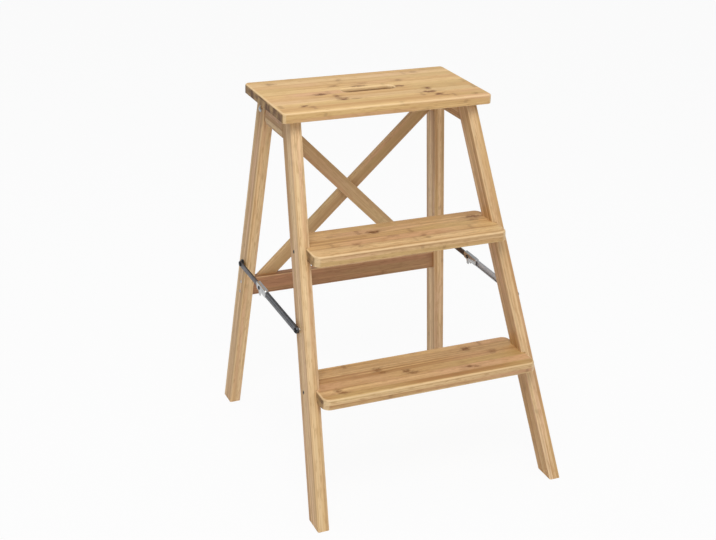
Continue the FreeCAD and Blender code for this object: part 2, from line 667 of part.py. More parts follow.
def build():
    """Make every piece, by the name of its node."""
    parts = {}
    tread_screws = both_sides(make_tread_screws())
    rail_screws = both_sides(make_rail_screws())
    bracket_screws = both_sides(make_bracket_screws())
    board_dowels = both_sides(make_board_dowels())
    side_rail_dowels = both_sides([make_side_rail_dowel()])
    slats = [(make_slat(0, 1), 1), (make_slat(1, -1), -1)]
    slat_dowels = make_slat_dowels(slats)
    crossing_screw = make_crossing_screw()
    plain_front_leg = make_front_leg()
    plain_rear_leg = make_rear_leg()
    bolts = both_sides([make_pivot_bolt()])
    brackets = both_sides([make_pivot_bracket()])

    fixings = tread_screws + rail_screws + bracket_screws + board_dowels
    fixings += side_rail_dowels + slat_dowels + bolts
    parts["top_board"] = without(make_top_board(), fixings)
    parts["middle_tread"] = without(make_tread(MIDDLE_TREAD_TOP, MIDDLE_TREAD_REAR_Y), fixings)
    parts["lower_tread"] = without(make_tread(LOWER_TREAD_TOP, LOWER_TREAD_REAR_Y), fixings)
    parts["rear_top_rail"] = without(make_cross_rail(TOP_RAIL_BOTTOM, TOP_RAIL_HEIGHT), fixings)
    parts["rear_lower_rail"] = without(
        make_cross_rail(LOWER_RAIL_BOTTOM, LOWER_RAIL_HEIGHT), fixings
    )
    parts["front_slat"] = without(slats[0][0], slat_dowels + [crossing_screw])
    parts["back_slat"] = without(slats[1][0], slat_dowels + [crossing_screw])
    parts["tread_screws"] = Part.makeCompound(tread_screws)
    parts["rear_rail_screws"] = Part.makeCompound(rail_screws)
    parts["pivot_bracket_screws"] = Part.makeCompound(bracket_screws)
    parts["board_dowels"] = Part.makeCompound(board_dowels)
    parts["side_rail_dowels"] = Part.makeCompound(side_rail_dowels)
    parts["slat_dowels"] = Part.makeCompound(slat_dowels)
    parts["slat_crossing_screw"] = crossing_screw

    stay_screw = make_front_stay_screw()
    anchor = make_rear_anchor(plain_rear_leg)
    right_pieces = {
        "front_leg": without(plain_front_leg, fixings + [stay_screw]),
        "side_rail": without(make_side_rail(), fixings),
        "rear_leg": without(plain_rear_leg, fixings + [anchor]),
        "pivot_bracket": without(brackets[0], bracket_screws),
        "pivot_bolt": bolts[0],
        "pivot_washer": make_pivot_washer(plain_rear_leg),
        "stay_front_arm": make_front_arm(),
        "stay_knuckle": make_knuckle(),
        "stay_knee_pin": make_knee_pin(),
        "stay_rear_arm": make_rear_arm(),
        "stay_rear_rivet": make_rear_arm_rivet(),
        "stay_rear_anchor": anchor,
        "stay_front_screw": stay_screw,
        "stay_front_spacer": make_front_spacer(plain_front_leg),
    }
    for name, side in SIDES.items():
        for piece, shape in right_pieces.items():
            parts[f"{name}_{piece}"] = mirrored(shape, side)
    return parts


def main():
    """Write one file for each node and report its volume."""
    os.makedirs("parts", exist_ok=True)
    for node, shape in build().items():
        shape.exportStep(f"parts/{node}.step")
        print(f"{node}: {len(shape.Solids)} solid(s), {shape.Volume / 1000:.2f} cm3")


main()
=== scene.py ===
"""Looks of a folding bamboo step stool, in metres, +Z up, its front towards -Y.

The wooden pieces keep the shapes of the frame. They get merged, smooth-shaded meshes that
carry their own grain direction. The stays and the screw heads are built here in more detail;
the other fittings keep the frame's shapes under merged, smooth-shaded meshes.
"""

import json
import logging
import math
from dataclasses import dataclass, field
from enum import Enum

import bmesh
import bpy
import numpy as np
from mathutils import Matrix, Vector

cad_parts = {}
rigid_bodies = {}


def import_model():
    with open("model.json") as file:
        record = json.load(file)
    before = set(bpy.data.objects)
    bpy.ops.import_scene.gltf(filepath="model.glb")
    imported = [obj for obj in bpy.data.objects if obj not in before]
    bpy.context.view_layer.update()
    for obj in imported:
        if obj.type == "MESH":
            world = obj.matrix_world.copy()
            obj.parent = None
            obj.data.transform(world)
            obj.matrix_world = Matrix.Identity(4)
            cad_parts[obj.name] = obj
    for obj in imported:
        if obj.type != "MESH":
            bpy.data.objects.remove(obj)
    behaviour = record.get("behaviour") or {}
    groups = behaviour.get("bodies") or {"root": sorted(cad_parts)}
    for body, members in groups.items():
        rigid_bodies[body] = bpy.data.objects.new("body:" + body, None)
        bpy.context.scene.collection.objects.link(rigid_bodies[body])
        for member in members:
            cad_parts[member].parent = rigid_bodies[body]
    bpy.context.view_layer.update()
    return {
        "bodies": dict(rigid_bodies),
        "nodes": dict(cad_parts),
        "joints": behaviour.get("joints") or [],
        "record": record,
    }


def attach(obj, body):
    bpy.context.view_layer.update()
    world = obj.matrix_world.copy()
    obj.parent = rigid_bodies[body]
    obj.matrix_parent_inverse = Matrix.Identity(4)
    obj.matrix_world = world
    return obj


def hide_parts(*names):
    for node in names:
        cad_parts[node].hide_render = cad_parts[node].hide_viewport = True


LOG = logging.getLogger("step_stool")

MERGE_DISTANCE = 2e-6
SHARP_ANGLE = math.radians(24)
COLOUR_A, COLOUR_B, COLOUR_RESULT = 6, 7, 2
RANDOM_MAX, RANDOM_RESULT = 3, 1
SPLAY = math.tan(math.radians(5.25))
FRONT_RAKE = math.tan(math.radians(25.9))
REAR_RAKE = math.tan(math.radians(3.7))
HALF_WIDTH_TOP = 0.179
HEIGHT = 0.650
ROUND_STEPS = 40
DOME_STEPS = 9
DOME_FOOT = (0.96, 0.06)
RECESS_FLOOR = (0.9, 0.26)
RECESS_MOUTH = (2.0, 0.40)
RECESS_RISE = 0.6
RECESS_SPIN = 0.4
CUT_REACH = 0.001
FACE_AREA_LIMIT = 1e-13
SAME_X = 1e-9
ON_AXIS = 1e-7
END_LEAN = 0.86
END_LEAN_SPAN = 0.11
FLAT_LEAN = 0.985
EDGE_LEAN_SPAN = 0.10
SLOT_Y = 0.13075
SLOT_HALF_LENGTH = 0.0530
SLOT_HALF_WIDTH = 0.0130
SLOT_RIM_Z = 0.6485
LEG_SHIFT = 7.0
INWARD = -0.5


class Side(Enum):
    """The two sides of the stool."""

    LEFT = -1
    RIGHT = 1

    @property
    def label(self) -> str:
        """The side's name as the nodes use it."""
        return self.name.lower()


class Body(Enum):
    """The bodies of the frame that pieces ride on."""

    SEAT = "seat_frame"
    REAR = "rear_frame"
    FRONT_ARM = "{side}_front_arm"
    REAR_ARM = "{side}_rear_arm"

    def of(self, side: Side | None = None) -> str:
        """The body's name, for one side where there are two of it."""
        return self.value.format(side=side.label) if side else self.value


class Slot(Enum):
    """The material slots of the record."""

    BAMBOO = "bamboo"
    DOWEL = "dowel_wood"
    BRIGHT = "bright_steel"
    DARK = "dark_steel"
    BLACK = "black_steel"


# Shader maths


class Expr:
    """A number or a socket that follows Python's arithmetic, one Math node a step."""

    def __init__(self, tree: "Tree", value: "bpy.types.NodeSocket | float") -> None:
        """Wrap a socket or a plain number of a node tree."""
        self.tree = tree
        self.value = value

    def _math(self, operation: str, *others: "Expr | float", clamp: bool = False) -> "Expr":
        """Apply one Math operation.

        Args:
            operation: The Math node's operation.
            others: The second and third operands.
            clamp: Whether the result is held between 0 and 1.

        Returns:
            The result.
        """
        inputs = dict(enumerate((self, *others)))
        node = self.tree.node("ShaderNodeMath", inputs, operation=operation, use_clamp=clamp)
        return Expr(self.tree, node.outputs[0])

    def _flip(self, other: float) -> "Expr":
        """Wrap the left operand of a reflected operator."""
        return Expr(self.tree, other)

    def __add__(self, other: "Expr | float") -> "Expr":
        """Add."""
        return self._math("ADD", other)

    __radd__ = __add__

    def __sub__(self, other: "Expr | float") -> "Expr":
        """Subtract."""
        return self._math("SUBTRACT", other)

    def __rsub__(self, other: float) -> "Expr":
        """Subtract from a number."""
        return self._flip(other) - self

    def __mul__(self, other: "Expr | float") -> "Expr":
        """Multiply."""
        return self._math("MULTIPLY", other)

    __rmul__ = __mul__

    def __truediv__(self, other: "Expr | float") -> "Expr":
        """Divide."""
        return self._math("DIVIDE", other)

    def __pow__(self, other: "Expr | float") -> "Expr":
        """Raise to a power."""
        return self._math("POWER", other)

    def __abs__(self) -> "Expr":
        """Take the size without the sign."""
        return self._math("ABSOLUTE")

    def floor(self) -> "Expr":
        """Round down."""
        return self._math("FLOOR")

    def fract(self) -> "Expr":
        """Take the part after the point."""
        return self._math("FRACT")

    def clamp(self) -> "Expr":
        """Hold between 0 and 1."""
        return self._math("ADD", 0.0, clamp=True)

    def larger(self, other: "Expr | float") -> "Expr":
        """Take the larger of two."""
        return self._math("MAXIMUM", other)

    def step(self, low: float, high: float) -> "Expr":
        """Rise smoothly from 0 at low to 1 at high.

        Args:
            low: Where the result leaves 0.
            high: Where the result reaches 1; below low for a falling step.

        Returns:
            The smoothed share.
        """
        share = ((self - low) / (high - low)).clamp()
        return share * share * (3.0 - 2.0 * share)


class Tree:
    """A material's node tree, with one method for every node."""

    def __init__(self, name: str) -> None:
        """Start an empty material.

        Args:
            name: The material's name.
        """
        self.material = bpy.data.materials.new(name)
        self.material.use_nodes = True
        self.nodes = self.material.node_tree.nodes
        self.links = self.material.node_tree.links
        self.nodes.clear()

    def node(self, kind: str, inputs: dict | None = None, **settings: object) -> bpy.types.Node:
        """Add a node.

        Args:
            kind: The node's type.
            inputs: Values or sockets by the input's name or number.
            settings: Properties of the node.

        Returns:
            The new node.
        """
        node = self.nodes.new(kind)
        for key, value in settings.items():
            setattr(node, key, value)
        for key, value in (inputs or {}).items():
            if isinstance(value, Expr):
                value = value.value
            if isinstance(value, bpy.types.NodeSocket):
                self.links.new(value, node.inputs[key])
            else:
                node.inputs[key].default_value = value
        return node

    def attribute(self, name: str, output: str = "Vector") -> bpy.types.NodeSocket:
        """Read one of the mesh's own attributes."""
        return self.node("ShaderNodeAttribute", attribute_name=name).outputs[output]

    def split(self, vector: bpy.types.NodeSocket) -> tuple[Expr, Expr, Expr]:
        """Take a vector apart."""
        parts = self.node("ShaderNodeSeparateXYZ", {0: vector})
        return tuple(Expr(self, parts.outputs[i]) for i in range(3))

    def join(self, *parts: Expr | float) -> bpy.types.NodeSocket:
        """Put three numbers together into a vector."""
        return self.node("ShaderNodeCombineXYZ", dict(enumerate(parts))).outputs[0]

    def noise(self, at: bpy.types.NodeSocket, scale: float, detail: float = 2.0) -> Expr:
        """Smooth noise around 0.5 at a place."""
        inputs = {"Vector": at, "Scale": scale, "Detail": detail}
        return Expr(self, self.node("ShaderNodeTexNoise", inputs).outputs["Fac"])

    def random(self, at: bpy.types.NodeSocket) -> Expr:
        """A fixed random number between 0 and 1 for a place."""
        return Expr(self, self.node("ShaderNodeTexWhiteNoise", {"Vector": at}).outputs["Value"])

    def mix(
        self, share: Expr | float, first: object, second: object
    ) -> bpy.types.NodeSocket:
        """Mix two colours.

        Args:
            share: How much of the second shows.
            first: A colour or a colour socket.
            second: A colour or a colour socket.

        Returns:
            The mixed colour.
        """
        first = (*first, 1.0) if isinstance(first, tuple) else first
        second = (*second, 1.0) if isinstance(second, tuple) else second
        node = self.node(
            "ShaderNodeMix", {"Factor": share, COLOUR_A: first, COLOUR_B: second},
            data_type="RGBA", clamp_factor=True,
        )
        return node.outputs[COLOUR_RESULT]

    def bump(self, height: Expr, distance: float, strength: float = 1.0) -> bpy.types.NodeSocket:
        """Turn a height into a surface normal."""
        inputs = {"Height": height, "Distance": distance, "Strength": strength}
        return self.node("ShaderNodeBump", inputs).outputs[0]

    def finish(self, **inputs: object) -> bpy.types.Material:
        """Close the tree with a Principled shader.

        Args:
            inputs: The shader's inputs, with _ for each space of the name.

        Returns:
            The material.
        """
        named = {key.replace("_", " "): value for key, value in inputs.items()}
        shader = self.node("ShaderNodeBsdfPrincipled", named)
        self.node("ShaderNodeOutputMaterial", {"Surface": shader.outputs[0]})
        return self.material


# Finishes


@dataclass(frozen=True)
class NodeMark:
    """A brown node mark on a board: its place and its half sizes along and across the grain."""

    along: float
    across: float
    half_length: float = 0.006
    half_width: float = 0.010
    strength: float = 0.8
    turn: float = 0.0


@dataclass(frozen=True)
class GrainScale:
    """How often a noise changes in a metre, along and across the grain, and its detail."""

    along: float
    across: float
    detail: float = 3.0

    def noise(self, tree: Tree, along: Expr, across: Expr, depth: Expr) -> Expr:
        """Noise that is drawn out along the grain.

        Args:
            tree: The material's tree.
            along: The place along the grain.
            across: The place across the grain.
            depth: The place through the grain.

        Returns:
            The noise, around 0.5.
        """
        place_in_noise = tree.join(
            along * self.along, across * self.across, depth * self.across
        )
        return tree.noise(place_in_noise, 1.0, self.detail)


BROAD = GrainScale(1.3, 75.0, 2.0)
STREAK = GrainScale(3.0, 270.0)
FIBRE = GrainScale(14.0, 950.0)
FLECK = GrainScale(55.0, 420.0, 2.0)
WANDER = GrainScale(150.0, 210.0)

MIDDLE = 0.5
TONE_SEED, PALE_SEED, RING_SEED, CHANCE_SEED = 3.0, 17.0, 11.0, 5.0
SEAM = (0.478, 0.497)
DRIFT_SCALES = (3.2, 5.3, 7.7)
BROAD_SHARE = 2.0
LEAST_DEPTH = 0.20
OLIVE_DRIFT, OLIVE_SHARE = (0.53, 0.64), 0.55
PINK_DRIFT, PINK_SHARE = (0.48, 0.36), 0.65
DARK_FIBRE, FIBRE_SHARE = (0.46, 0.66), 0.42
DARK_FLECK, FLECK_SHARE = (0.52, 0.66), 0.50
PALE_STRIPS = (0.62, 0.95)
# Painted highlight and painted shade on the hand slot's walls, and how ragged the shade's line is.
SLOT_HIGHLIGHT_SHARE, SLOT_SHADE_SHARE, SLOT_FRAY = 0.55, 0.85, 0.006
RING_CHANCE, RING_FRAY = (0.2, 0.9), 0.03
RING_CORE, RING_CORE_SHARE = (0.018, 0.005), 0.8
RING_HALO, RING_HALO_SHARE = (0.060, 0.0), 0.30
PORES, DARK_PORES, PORE_SHARE = 1500.0, (0.52, 0.66), 0.5
BLOTCHES, BLOTCH_SHARE = (60.0, 20.0, 4.0), 2.4
END_TONE_SHARE, END_LEAST = 0.7, 0.05
FIBRE_RELIEF, STREAK_RELIEF, SEAM_RELIEF, SPOT_RELIEF = 0.6, 0.4, 0.6, 0.5
FIBRE_ROUGH, SPOT_ROUGH, END_ROUGH = 0.16, 0.1, 0.15
BAMBOO_BUMP_HEIGHT, BAMBOO_BUMP_STRENGTH = 0.00020, 0.6
WANDER_FRAY, STREAK_FRAY = 6.0, 3.5
MARK_LENGTH, MARK_WIDTH, TAIL_WIDTH, TAIL_STRETCH = 1.4, 1.3, 0.7, 0.10
CORE_TIGHTNESS, BODY_FRAY, TAIL_FRAY = 1.6, 0.7, 0.3
CORE_FADE, BODY_FADE, TAIL_FADE = (1.1, 0.0), (1.9, 0.2), (1.0, 0.0)
CORE_SHARE, BODY_SHARE, TAIL_SHARE = 0.42, 0.50, 0.30


@dataclass(frozen=True)
class BambooFinish:
    """Lacquered bamboo, glued up from lengthwise strips."""

    name: str
    light: tuple[float, float, float] = (0.735, 0.480, 0.215)
    deep: tuple[float, float, float] = (0.400, 0.195, 0.060)
    pink: tuple[float, float, float] = (0.640, 0.350, 0.190)
    olive: tuple[float, float, float] = (0.590, 0.405, 0.155)
    # Brown of node marks, seams and rings; it also paints the hand slot's shade.
    mark: tuple[float, float, float] = (0.190, 0.072, 0.014)
    end: tuple[float, float, float] = (0.150, 0.068, 0.022)
    end_light: tuple[float, float, float] = (0.500, 0.310, 0.130)
    # A pale bamboo tone: the pale strips take it, and it also paints the highlight on rounded edges
    # and on the slot's walls.
    edge: tuple[float, float, float] = (0.890, 0.660, 0.370)
    strip_width: float = 0.0195
    layer: float = 0.0062
    tone_share: float = 0.55
    streak_share: float = 2.6
    edge_share: float = 0.50
    pale_share: float = 0.30
    seam_share: float = 0.18
    node_pitch: float = 0.27
    node_strength: float = 0.35
    # Heights where the hand slot's painted shade starts and where it is full.
    slot_lit: float = 0.6462
    slot_dark: float = 0.6432
    roughness: float = 0.42
    coat: float = 0.10
    coat_roughness: float = 0.28
    marks: tuple[NodeMark, ...] = ()

    def material(self) -> bpy.types.Material:
        """Build the finish.

        Returns:
            The bamboo material, which reads the mesh's grain, end, edge and hollow attributes.
        """
        tree = Tree(self.name)
        along, across, depth = tree.split(tree.attribute("grain"))
        strip = (across / self.strip_width).floor()
        layer = (depth / self.layer).floor()
        tone = tree.random(tree.join(strip, layer, TONE_SEED))
        seam = abs((across / self.strip_width).fract() - MIDDLE).step(*SEAM)
        drift_at = [
            part * scale for part, scale in zip((along, strip, layer), DRIFT_SCALES)
        ]
        drift = tree.noise(tree.join(*drift_at), 1.0, 2.0)
        grain = along, across, depth
        broad, streak, fibre, fleck, wander = (
            scale.noise(tree, *grain) for scale in (BROAD, STREAK, FIBRE, FLECK, WANDER)
        )

        depth_of_tone = (
            tone * self.tone_share + (streak - MIDDLE) * self.streak_share
            + (broad - MIDDLE) * BROAD_SHARE + LEAST_DEPTH
        )
        colour = tree.mix(depth_of_tone.clamp(), self.light, self.deep)
        colour = tree.mix(drift.step(*OLIVE_DRIFT) * OLIVE_SHARE, colour, self.olive)
        colour = tree.mix(drift.step(*PINK_DRIFT) * PINK_SHARE, colour, self.pink)
        pale = tree.random(tree.join(strip, layer, PALE_SEED)).step(*PALE_STRIPS)
        colour = tree.mix(pale * self.pale_share, colour, self.edge)
        colour = tree.mix(fibre.step(*DARK_FIBRE) * FIBRE_SHARE, colour, self.deep)
        colour = tree.mix(fleck.step(*DARK_FLECK) * FLECK_SHARE, colour, self.deep)
        colour = tree.mix(seam * self.seam_share, colour, self.mark)
        colour = tree.mix(self._rings(tree, along, strip, layer, wander), colour, self.mark)
        spots = self._spots(tree, along, across, wander, streak)
        colour = tree.mix(spots, colour, self.mark)
        # Rounded edges are painted lighter: partly the paler lacquered edge, partly a painted
        # highlight.
        edge = Expr(tree, tree.attribute("edge", "Fac"))
        colour = tree.mix(edge * self.edge_share, colour, self.edge)
        end = Expr(tree, tree.attribute("end", "Fac"))
        colour = tree.mix(end, colour, self._end_grain(tree, across, depth, tone))
        # The hand slot's walls are painted lighter as a painted highlight, and their lower part is
        # painted darker with the mark brown as a painted shade.
        hollow = Expr(tree, tree.attribute("hollow", "Fac"))
        colour = tree.mix(hollow * SLOT_HIGHLIGHT_SHARE, colour, self.edge)
        frayed = depth + (streak - MIDDLE) * SLOT_FRAY
        shade = frayed.step(self.slot_lit, self.slot_dark)
        colour = tree.mix(hollow * shade * SLOT_SHADE_SHARE, colour, self.mark)

        height = fibre * FIBRE_RELIEF + streak * STREAK_RELIEF
        height = height - seam * SEAM_RELIEF - spots * SPOT_RELIEF
        rough = self.roughness + fibre * FIBRE_ROUGH + spots * SPOT_ROUGH + end * END_ROUGH
        return tree.finish(
            Base_Color=colour, Roughness=rough,
            Normal=tree.bump(height, BAMBOO_BUMP_HEIGHT, BAMBOO_BUMP_STRENGTH),
            Coat_Weight=self.coat, Coat_Roughness=self.coat_roughness,
        )

    def _rings(self, tree: Tree, along: Expr, strip: Expr, layer: Expr, wander: Expr) -> Expr:
        """The culm's nodes: a faint brown band across a strip now and then.

        Args:
            tree: The material's tree.
            along: The place along the grain.
            strip: The strip's number.
            layer: The layer's number.
            wander: Noise that frays the bands.

        Returns:
            How dark the bands are, from 0 to 1.
        """
        phase = tree.random(tree.join(strip, layer, RING_SEED))
        chance = tree.random(tree.join(strip, layer, CHANCE_SEED)).step(*RING_CHANCE)
        along_culm = along / self.node_pitch + phase + wander * RING_FRAY
        node_at = abs(along_culm.fract() - MIDDLE)
        core = node_at.step(*RING_CORE) * chance
        halo = node_at.step(*RING_HALO)
        return (core * RING_CORE_SHARE + halo * RING_HALO_SHARE) * self.node_strength

    def _end_grain(self, tree: Tree, across: Expr, depth: Expr, tone: Expr) -> bpy.types.NodeSocket:
        """The cut ends: every strip's own brown, with fine dark pores.

        Args:
            tree: The material's tree.
            across: The place across the grain.
            depth: The place through the grain.
            tone: The strip's own random tone.

        Returns:
            The colour of the end grain.
        """
        pores = tree.noise(tree.join(across * PORES, depth * PORES, 0.0), 1.0, 2.0)
        wide, deep, seed = BLOTCHES
        blotch = tree.noise(tree.join(across * wide, depth * deep, seed), 1.0, 2.0)
        pale = tone * END_TONE_SHARE + (blotch - MIDDLE) * BLOTCH_SHARE + END_LEAST
        colour = tree.mix(pale.clamp(), self.end, self.end_light)
        return tree.mix(pores.step(*DARK_PORES) * PORE_SHARE, colour, self.end)

    def _spots(
        self, tree: Tree, along: Expr, across: Expr, wander: Expr, streak: Expr
    ) -> Expr:
        """Lay the finish's own node marks over each other.

        Args:
            tree: The material's tree.
            along: The place along the grain.
            across: The place across the grain.
            wander: Noise that frays the marks.
            streak: Noise that draws the marks out along the fibres.

        Returns:
            How dark the marks are, from 0 to 1.
        """
        ragged = (wander - MIDDLE) * WANDER_FRAY + (streak - MIDDLE) * STREAK_FRAY
        total = Expr(tree, 0.0)
        for mark in self.marks:
            turned = math.cos(mark.turn), math.sin(mark.turn)
            x = (along - mark.along) * turned[0] + (across - mark.across) * turned[1]
            y = (across - mark.across) * turned[0] - (along - mark.along) * turned[1]
            wide = (x / (mark.half_length * MARK_LENGTH)) ** 2.0
            reach = wide + (y / (mark.half_width * MARK_WIDTH)) ** 2.0
            core = (reach * CORE_TIGHTNESS + ragged).step(*CORE_FADE)
            body = (reach + ragged * BODY_FRAY).step(*BODY_FADE)
            thin = (y / (mark.half_width * TAIL_WIDTH)) ** 2.0
            tail = (wide * TAIL_STRETCH + thin + ragged * TAIL_FRAY).step(*TAIL_FADE)
            spot = core * CORE_SHARE + body * BODY_SHARE + tail * TAIL_SHARE
            total = total.larger(spot * mark.strength)
        return total.clamp()


@dataclass(frozen=True)
class MetalFinish:
    """A metal with fine lengthwise scratches and darker handling marks."""

    name: str
    colour: tuple[float, float, float]
    shade: tuple[float, float, float]
    roughness: float
    metallic: float = 1.0
    scratch: float = 0.5
    # A paler colour for the inward faces of the channel: a painted reflection of the white
    # surround.
    inside: tuple[float, float, float] | None = None
    line_scale: tuple[float, float] = (5000.0, 60.0)
    smudge_scale: float = 140.0
    speck_scale: float = 1800.0
    smudge_band: tuple[float, float] = (0.42, 0.7)
    speck_band: tuple[float, float] = (0.6, 0.8)
    smudge_share: float = 0.6
    speck_share: float = 0.3
    inside_dullness: float = 0.8
    scratch_rough: float = 0.2
    smudge_rough: float = 0.12
    bump_height: float = 0.00003
    bump_strength: float = 0.5

    def material(self) -> bpy.types.Material:
        """Build the finish.

        Returns:
            The metal material, in object coordinates.
        """
        tree = Tree(self.name)
        place = tree.node("ShaderNodeTexCoord").outputs["Object"]
        x, y, z = tree.split(place)
        fine, long = self.line_scale
        lines = tree.noise(tree.join(x * fine, y * long, z * fine), 1.0, 3.0)
        smudge = tree.noise(place, self.smudge_scale, 3.0)
        specks = tree.noise(place, self.speck_scale, 2.0)
        smudged = smudge.step(*self.smudge_band) * self.smudge_share
        share = smudged + specks.step(*self.speck_band) * self.speck_share
        colour = tree.mix(share.clamp(), self.colour, self.shade)
        metallic = self.metallic
        # The inward faces are painted paler and less metallic: a painted reflection of the white
        # surround.
        if self.inside:
            inner = Expr(tree, tree.attribute("inner", "Fac"))
            colour = tree.mix(inner, colour, self.inside)
            metallic = (self.metallic - inner * self.inside_dullness).clamp()
        scratched = (lines - MIDDLE) * self.scratch_rough * self.scratch
        rough = self.roughness + scratched + (smudge - MIDDLE) * self.smudge_rough
        height = lines * self.scratch + specks * self.speck_share
        return tree.finish(
            Base_Color=colour, Roughness=rough.clamp(), Metallic=metallic,
            Normal=tree.bump(height, self.bump_height, self.bump_strength),
        )


BOARD_MARKS = (
    NodeMark(-0.098, 0.120, 0.0080, 0.0055, 0.95),
    NodeMark(-0.150, 0.062, 0.0050, 0.0055, 0.75, 0.5),
    NodeMark(-0.143, 0.054, 0.0050, 0.0040, 0.50),
    NodeMark(-0.072, 0.101, 0.0055, 0.0085, 0.70, 0.3),
    NodeMark(-0.066, 0.083, 0.0065, 0.0070, 0.80, 0.5),
    NodeMark(-0.048, 0.078, 0.0100, 0.0035, 0.45),
    NodeMark(-0.012, 0.149, 0.0110, 0.0040, 0.70),
    NodeMark(0.058, 0.128, 0.0085, 0.0055, 0.90),
    NodeMark(0.127, 0.207, 0.0050, 0.0050, 0.45),
    NodeMark(0.074, 0.165, 0.0065, 0.0050, 0.50),
    NodeMark(0.103, 0.101, 0.0060, 0.0070, 0.85, 0.4),
    NodeMark(0.099, 0.080, 0.0095, 0.0060, 0.85),
    NodeMark(0.109, 0.060, 0.0065, 0.0060, 0.80, 0.5),
    NodeMark(0.119, 0.052, 0.0060, 0.0035, 0.45),
    NodeMark(0.173, 0.045, 0.0055, 0.0045, 0.50),
    NodeMark(-0.159, 0.206, 0.0060, 0.0055, 0.40),
    NodeMark(-0.055, 0.163, 0.0065, 0.0070, 0.45, 0.6),
    NodeMark(0.004, 0.165, 0.0060, 0.0050, 0.40),
    NodeMark(-0.030, 0.196, 0.0050, 0.0050, 0.35),
)
MIDDLE_TREAD_MARKS = (
    NodeMark(-0.047, -0.015, 0.0085, 0.0065, 0.85),
    NodeMark(-0.036, -0.010, 0.0070, 0.0040, 0.50),
    NodeMark(-0.097, -0.058, 0.0050, 0.0060, 0.55, 0.6),
    NodeMark(-0.091, -0.068, 0.0050, 0.0040, 0.45),
    NodeMark(0.031, -0.058, 0.0050, 0.0055, 0.50, 0.6),
    NodeMark(0.037, -0.068, 0.0055, 0.0040, 0.45),
    NodeMark(-0.022, -0.044, 0.0065, 0.0045, 0.40),
    NodeMark(0.158, -0.006, 0.0110, 0.0070, 0.70),
    NodeMark(0.150, -0.020, 0.0080, 0.0045, 0.45),
    NodeMark(-0.128, -0.012, 0.0060, 0.0050, 0.30),
)
LOWER_TREAD_MARKS = (
    NodeMark(-0.077, -0.120, 0.0055, 0.0065, 0.60, 0.6),
    NodeMark(-0.072, -0.132, 0.0060, 0.0040, 0.50),
    NodeMark(-0.030, -0.142, 0.0050, 0.0070, 0.70, 0.5),
    NodeMark(-0.020, -0.150, 0.0080, 0.0045, 0.60),
    NodeMark(0.108, -0.102, 0.0070, 0.0065, 0.75, 0.3),
    NodeMark(0.150, -0.126, 0.0060, 0.0065, 0.45, 0.4),
    NodeMark(0.084, -0.165, 0.0055, 0.0050, 0.70),
    NodeMark(0.094, -0.168, 0.0055, 0.0040, 0.50),
    NodeMark(-0.171, -0.166, 0.0050, 0.0065, 0.65, 0.5),
    NodeMark(-0.164, -0.175, 0.0065, 0.0050, 0.65),
)


class Finishes:
    """Every material of the stool, each built once."""

    def __init__(self) -> None:
        """Build the materials."""
        self.board = BambooFinish(
            "bamboo_board", light=(0.730, 0.480, 0.200), deep=(0.490, 0.262, 0.085),
            tone_share=0.35, streak_share=2.0, marks=BOARD_MARKS,
        ).material()
        self.middle_tread = BambooFinish("bamboo_middle_tread", marks=MIDDLE_TREAD_MARKS).material()
        self.lower_tread = BambooFinish("bamboo_lower_tread", marks=LOWER_TREAD_MARKS).material()
        self.leg = BambooFinish(
            "bamboo_leg", light=(0.860, 0.600, 0.315), deep=(0.490, 0.260, 0.095),
            olive=(0.640, 0.415, 0.170), pink=(0.740, 0.465, 0.275),
            strip_width=0.0072, layer=0.0072, tone_share=0.85, streak_share=2.6,
            node_pitch=0.34, node_strength=0.26, edge_share=0.40, pale_share=0.60,
        ).material()
        self.rail = BambooFinish(
            "bamboo_rail", light=(0.500, 0.262, 0.112), deep=(0.280, 0.120, 0.045),
            olive=(0.400, 0.235, 0.090), pink=(0.430, 0.185, 0.092),
            pale_share=0.12, strip_width=0.0125, node_strength=0.5, node_pitch=0.19,
            edge_share=0.30,
        ).material()
        self.slat = BambooFinish(
            "bamboo_slat", light=(0.690, 0.465, 0.225), deep=(0.500, 0.290, 0.120),
            strip_width=0.0135, node_strength=0.2, streak_share=1.2, edge_share=0.25,
        ).material()
        self.dowel = BambooFinish("bamboo_dowel", strip_width=0.02, node_strength=0.0).material()
        self.bright = MetalFinish(
            "bright_steel", (0.66, 0.66, 0.65), (0.42, 0.42, 0.42), roughness=0.26
        ).material()
        # Both arm steels paint the channel's inward faces paler as a painted reflection of the
        # white surround; the pale grey copy for the right arm is a painted reflection all over.
        self.grey = MetalFinish(
            "grey_steel", (0.130, 0.135, 0.145), (0.060, 0.062, 0.068),
            roughness=0.36, scratch=0.9, inside=(0.780, 0.780, 0.800),
        ).material()
        self.pale_grey = MetalFinish(
            "pale_grey_steel", (0.600, 0.610, 0.630), (0.420, 0.425, 0.440),
            roughness=0.42, metallic=0.55, scratch=0.9, inside=(0.700, 0.710, 0.740),
        ).material()
        self.dark = MetalFinish(
            "dark_steel", (0.120, 0.105, 0.108), (0.060, 0.050, 0.052),
            roughness=0.34, scratch=0.9,
        ).material()
        self.black = MetalFinish(
            "black_steel", (0.030, 0.030, 0.032), (0.016, 0.016, 0.016),
            roughness=0.38, metallic=0.75,
        ).material()


# Mesh helpers


def new_object(name: str, mesh: bpy.types.Mesh) -> bpy.types.Object:
    """Put a mesh in the scene under a name.

    Args:
        name: The new object's name.
        mesh: Its mesh.

    Returns:
        The object.
    """
    obj = bpy.data.objects.new(name, mesh)
    bpy.context.scene.collection.objects.link(obj)
    return obj


